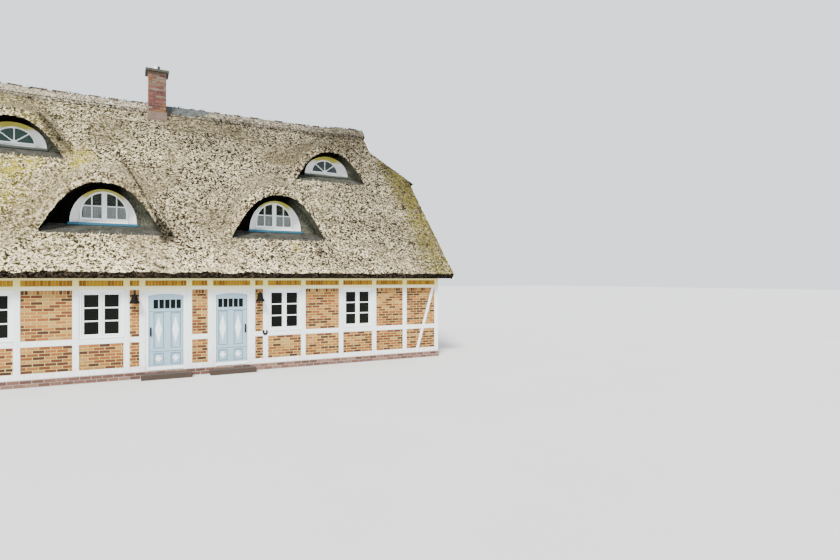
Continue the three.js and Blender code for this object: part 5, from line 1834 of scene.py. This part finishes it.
# Chimney
# Orange-red bricks around the flue, patched with grey mortar, under a thin
# concrete slab, and a mortar skirt where it leaves the thatch.
stack_middle = (stack_low + stack_high) / 2
stack_half = (stack_high[0] - stack_low[0]) / 2
chimney_tones = ((0.0, (0.065, 0.018, 0.017)), (0.25, (0.115, 0.030, 0.024)), (0.48, (0.165, 0.052, 0.030)),
                 (0.62, (0.115, 0.070, 0.045)), (1.0, (0.175, 0.13, 0.09)))
chimney_brick_paint = brick_paint(
    "chimney_brick", *chimney_tones,
    lichen=((-1.15, -1.055, 9.18, 9.40), (-0.75, -0.60, 8.25, 8.50), (-1.05, -0.60, 8.23, 8.31)))
sunned_brick_paint = brick_paint("sunned_chimney_brick", (0.0, (0.26, 0.10, 0.05)), (0.5, (0.38, 0.17, 0.09)),
                                 (1.0, (0.42, 0.24, 0.15)))
chimney_mortar_box = Paintbox("chimney_mortar", 0.95)
chimney_mortar_paint = chimney_mortar_box.two_tone(
    chimney_mortar_box.mixed(chimney_mortar_box.grain(5.0), chimney_mortar_box.grain(50.0)),
    (0.3, (0.075, 0.048, 0.036)), (0.7, (0.17, 0.12, 0.09)), 0.01)
sunned_face = 3


def chimney_face(turn):
    """Where a brick lies on the face of the chimney that is turned so far from the front."""
    outward = np.array([math.sin(turn), -math.cos(turn), 0])
    along = np.array([math.cos(turn), math.sin(turn), 0])
    centre = np.array([stack_middle[0], stack_middle[1], 0])
    return lambda u, depth, z: centre + along * u + outward * (stack_half - depth) + (0, 0, z)


def smeared_tone(brick):
    """The tone of a chimney's brick, greyer where mortar was smeared over it."""
    smears = 0.8 if brick.level > 8.95 else 0.15 if brick.level > 8.5 else 0.6
    return 0.6 + 0.4 * brick.tone if luck.random() < smears else 0.5 * brick.tone


for face_number in range(4):
    turn = face_number * math.pi / 2
    wall_faces["chimney"] = chimney_face(turn), turn
    laid = courses((-stack_half, stack_half, 7.6, stack_high[2] - 0.004), luck, length=0.215)
    paint = sunned_brick_paint if face_number == sunned_face else chimney_brick_paint
    brickwork(f"chimney_bricks_{face_number}", "chimney", laid, paint, "chimney_brick", luck,
              face=-0.006, inside=0.030, ragged=-3.0, tilt=0.01, tone_of=smeared_tone)
bpy.data.objects.remove(sample_brick)
for node in ("chimney_stack", "chimney_head"):
    painted(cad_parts[node].data, chimney_mortar_paint)
slab_box = Paintbox("weathered_concrete", 0.95)
slab_paint = slab_box.two_tone(
    slab_box.mixed(slab_box.grain(9.0), slab_box.grain(60.0)),
    (0.3, (0.022, 0.022, 0.015)), (0.7, (0.085, 0.082, 0.06)), 0.01)
pipe_box = Paintbox("galvanised_flue", 0.6, 0.1)
# Painted light and shade: the flue's left side is painted bright as sunlit zinc and its right side dark as
# shade.
pipe_grain = pipe_box.grain(18.0, 3.0)
painted_shade_zinc = pipe_box.ramp(pipe_grain, (0.3, (0.004, 0.006, 0.016)), (0.7, (0.02, 0.024, 0.05)))
painted_lit_zinc = pipe_box.ramp(pipe_grain, (0.3, (0.7, 0.71, 0.72)), (0.7, (0.95, 0.96, 0.97)))
pipe_paint = pipe_box.finish(
    pipe_box.blend(pipe_box.span(pipe_box.facing("X"), -0.05, 0.25), painted_lit_zinc, painted_shade_zinc), pipe_grain, 0.002)
cap_low, cap_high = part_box("chimney_cap")
slab_top = cap_low[2] + 0.075


def round_bar(radius, low, high, paint):
    """An upright cylinder on the middle of the chimney."""
    outline = [(stack_middle[0] + radius * math.cos(a), stack_middle[1] + radius * math.sin(a), 0)
               for a in np.linspace(0, 2 * math.pi, 25)[:-1]]
    return painted(prism(outline, (0, 0, low), (0, 0, high)), paint)


slab_shape = painted(box_mesh(cap_low, (cap_high[0], cap_high[1], slab_top)), slab_paint)
chimney_slab = carve(slab_shape, [round_bar(0.1, 9, 10, slab_paint)])
add_piece("chimney_slab", chimney_slab, "root", "concrete", "chimney_cap")
flue_pipe = carve(round_bar(0.098, slab_top - 0.07, cap_high[2] - 0.001, pipe_paint),
                  [round_bar(0.088, 9, 10, pipe_paint)])
add_piece("chimney_flue_pipe", flue_pipe, "root", None)

skirt = Joinery(chimney_mortar_paint)
skirt_wide, skirt_ends = 0.055, 0.03
skirt_back = stack_middle[1] - stack_half - 0.004
skirt_front = skirt_back - skirt_wide
reed_height = slope_height(half_depth + skirt_back)
skirt_line = [(0, skirt_back, reed_height + 0.22), (0, skirt_front, reed_height - 0.03),
              (0, skirt_front, reed_height - 0.12), (0, skirt_back, reed_height - 0.12)]
skirt.sweep(skirt_line, (stack_low[0] - skirt_ends, 0, 0), (stack_high[0] + skirt_ends, 0, 0))
skirt.piece("chimney_skirt", "root", "chimney_brick")


# Boards, plinth, steps and floors
# The white barge boards and gablet boards, the brick plinth, brown steps of
# hard brick, and board floors, each a CAD solid with its own finish.
barge_paint = white_wood("white_barge_boards", (0.84, 0.84, 0.81), (0.55, 0.53, 0.47), 0.55)
plinth_mortar_box = Paintbox("plinth_mortar", 0.95)
plinth_mortar_paint = plinth_mortar_box.finish(plinth_mortar_box.ramp(
    plinth_mortar_box.grain(30.0), (0.3, (0.22, 0.19, 0.16)), (0.7, (0.38, 0.34, 0.29))),
    plinth_mortar_box.grain(60.0), 0.004)
step_paint = brick_paint("brown_step", (0.0, (0.07, 0.045, 0.03)), (1.0, (0.20, 0.13, 0.09)))
for paint, names in (
        (barge_paint, ("right_verge_boards", "left_verge_boards",
                       "right_gablet_boards", "left_gablet_boards")),
        (timber_paint, ("right_door_frame", "left_door_frame")),
        (plinth_mortar_paint, ("plinth",)),
        (step_paint, ("right_door_step", "left_door_step")),
        (brown_board_paint, ("upper_floor", "loft_floor"))):
    for node in names:
        painted(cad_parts[node].data, paint)


# Lamps and horseshoe
# A black iron bell on a bracket beside each door, and an old horseshoe nailed
# to the post at the foot of the right-hand window.
def turned(profile, x, y, z, paint, around=24):
    """A shape turned on a lathe, from (radius, height) points."""
    angles = [2 * math.pi * step / around for step in range(around)]
    points = [(x + radius * math.cos(a), y + radius * math.sin(a), z + height)
              for radius, height in profile for a in angles]
    return tube("turned", points, numbered_rows(len(profile), around), paint)


bell_profile = [(0.02, 0.012), (0.108, 0.0), (0.119, 0.0), (0.1235, 0.008), (0.1235, 0.022), (0.112, 0.040),
                (0.094, 0.066), (0.083, 0.10), (0.076, 0.14), (0.071, 0.178), (0.060, 0.212), (0.042, 0.234),
                (0.026, 0.24), (0.024, 0.25), (0.016, 0.258), (0.005, 0.261)]
lamp_place, lamp_foot, lamp_out = 1.58, 1.97, 0.15
bracket_end = -half_depth + 0.014
for side_name, hand in sides:
    x = hand * lamp_place
    bracket = Joinery(iron_paint)
    bracket.bar((x - 0.011, -half_depth - 0.145, 2.122), (x + 0.011, bracket_end, 2.142), 0.003)
    bracket.bar((x - 0.034, -half_depth + 0.004, 2.072), (x + 0.034, bracket_end, 2.188), 0.004)
    bell = turned(bell_profile, x, -half_depth - lamp_out, lamp_foot, iron_paint)
    add_piece(f"{side_name}_bell_lamp", joined("lamp", bell, bracket.mesh("bracket")), "root", "black_iron",
              f"{side_name}_wall_lamp")


def horseshoe(x, z, depth, thickness=0.018):
    """A flat bent bar, wider at the toe."""
    outer, inner = [], []
    for angle in np.linspace(math.radians(-232), math.radians(52), 29):
        wide = 0.024 + 0.006 * max(0.0, -math.sin(angle))
        across = np.array([math.cos(angle), 0, math.sin(angle)])
        middle = np.array([x, 0, z]) + across * np.array([0.049, 0, 0.060])
        outer.append(middle + across * wide)
        inner.append(middle - across * wide)
    shoe = Joinery(iron_paint)
    face, back = (0, depth - thickness, 0), (0, depth, 0)
    edges = ((outer, face), (inner, face), (inner, back), (outer, back))
    shoe.loft([[tuple(p + offset) for p in line] for line, offset in edges])
    return shoe.piece("door_horseshoe", "root", "black_iron")


horseshoe(1.75, 1.075, -half_depth + 0.0005)
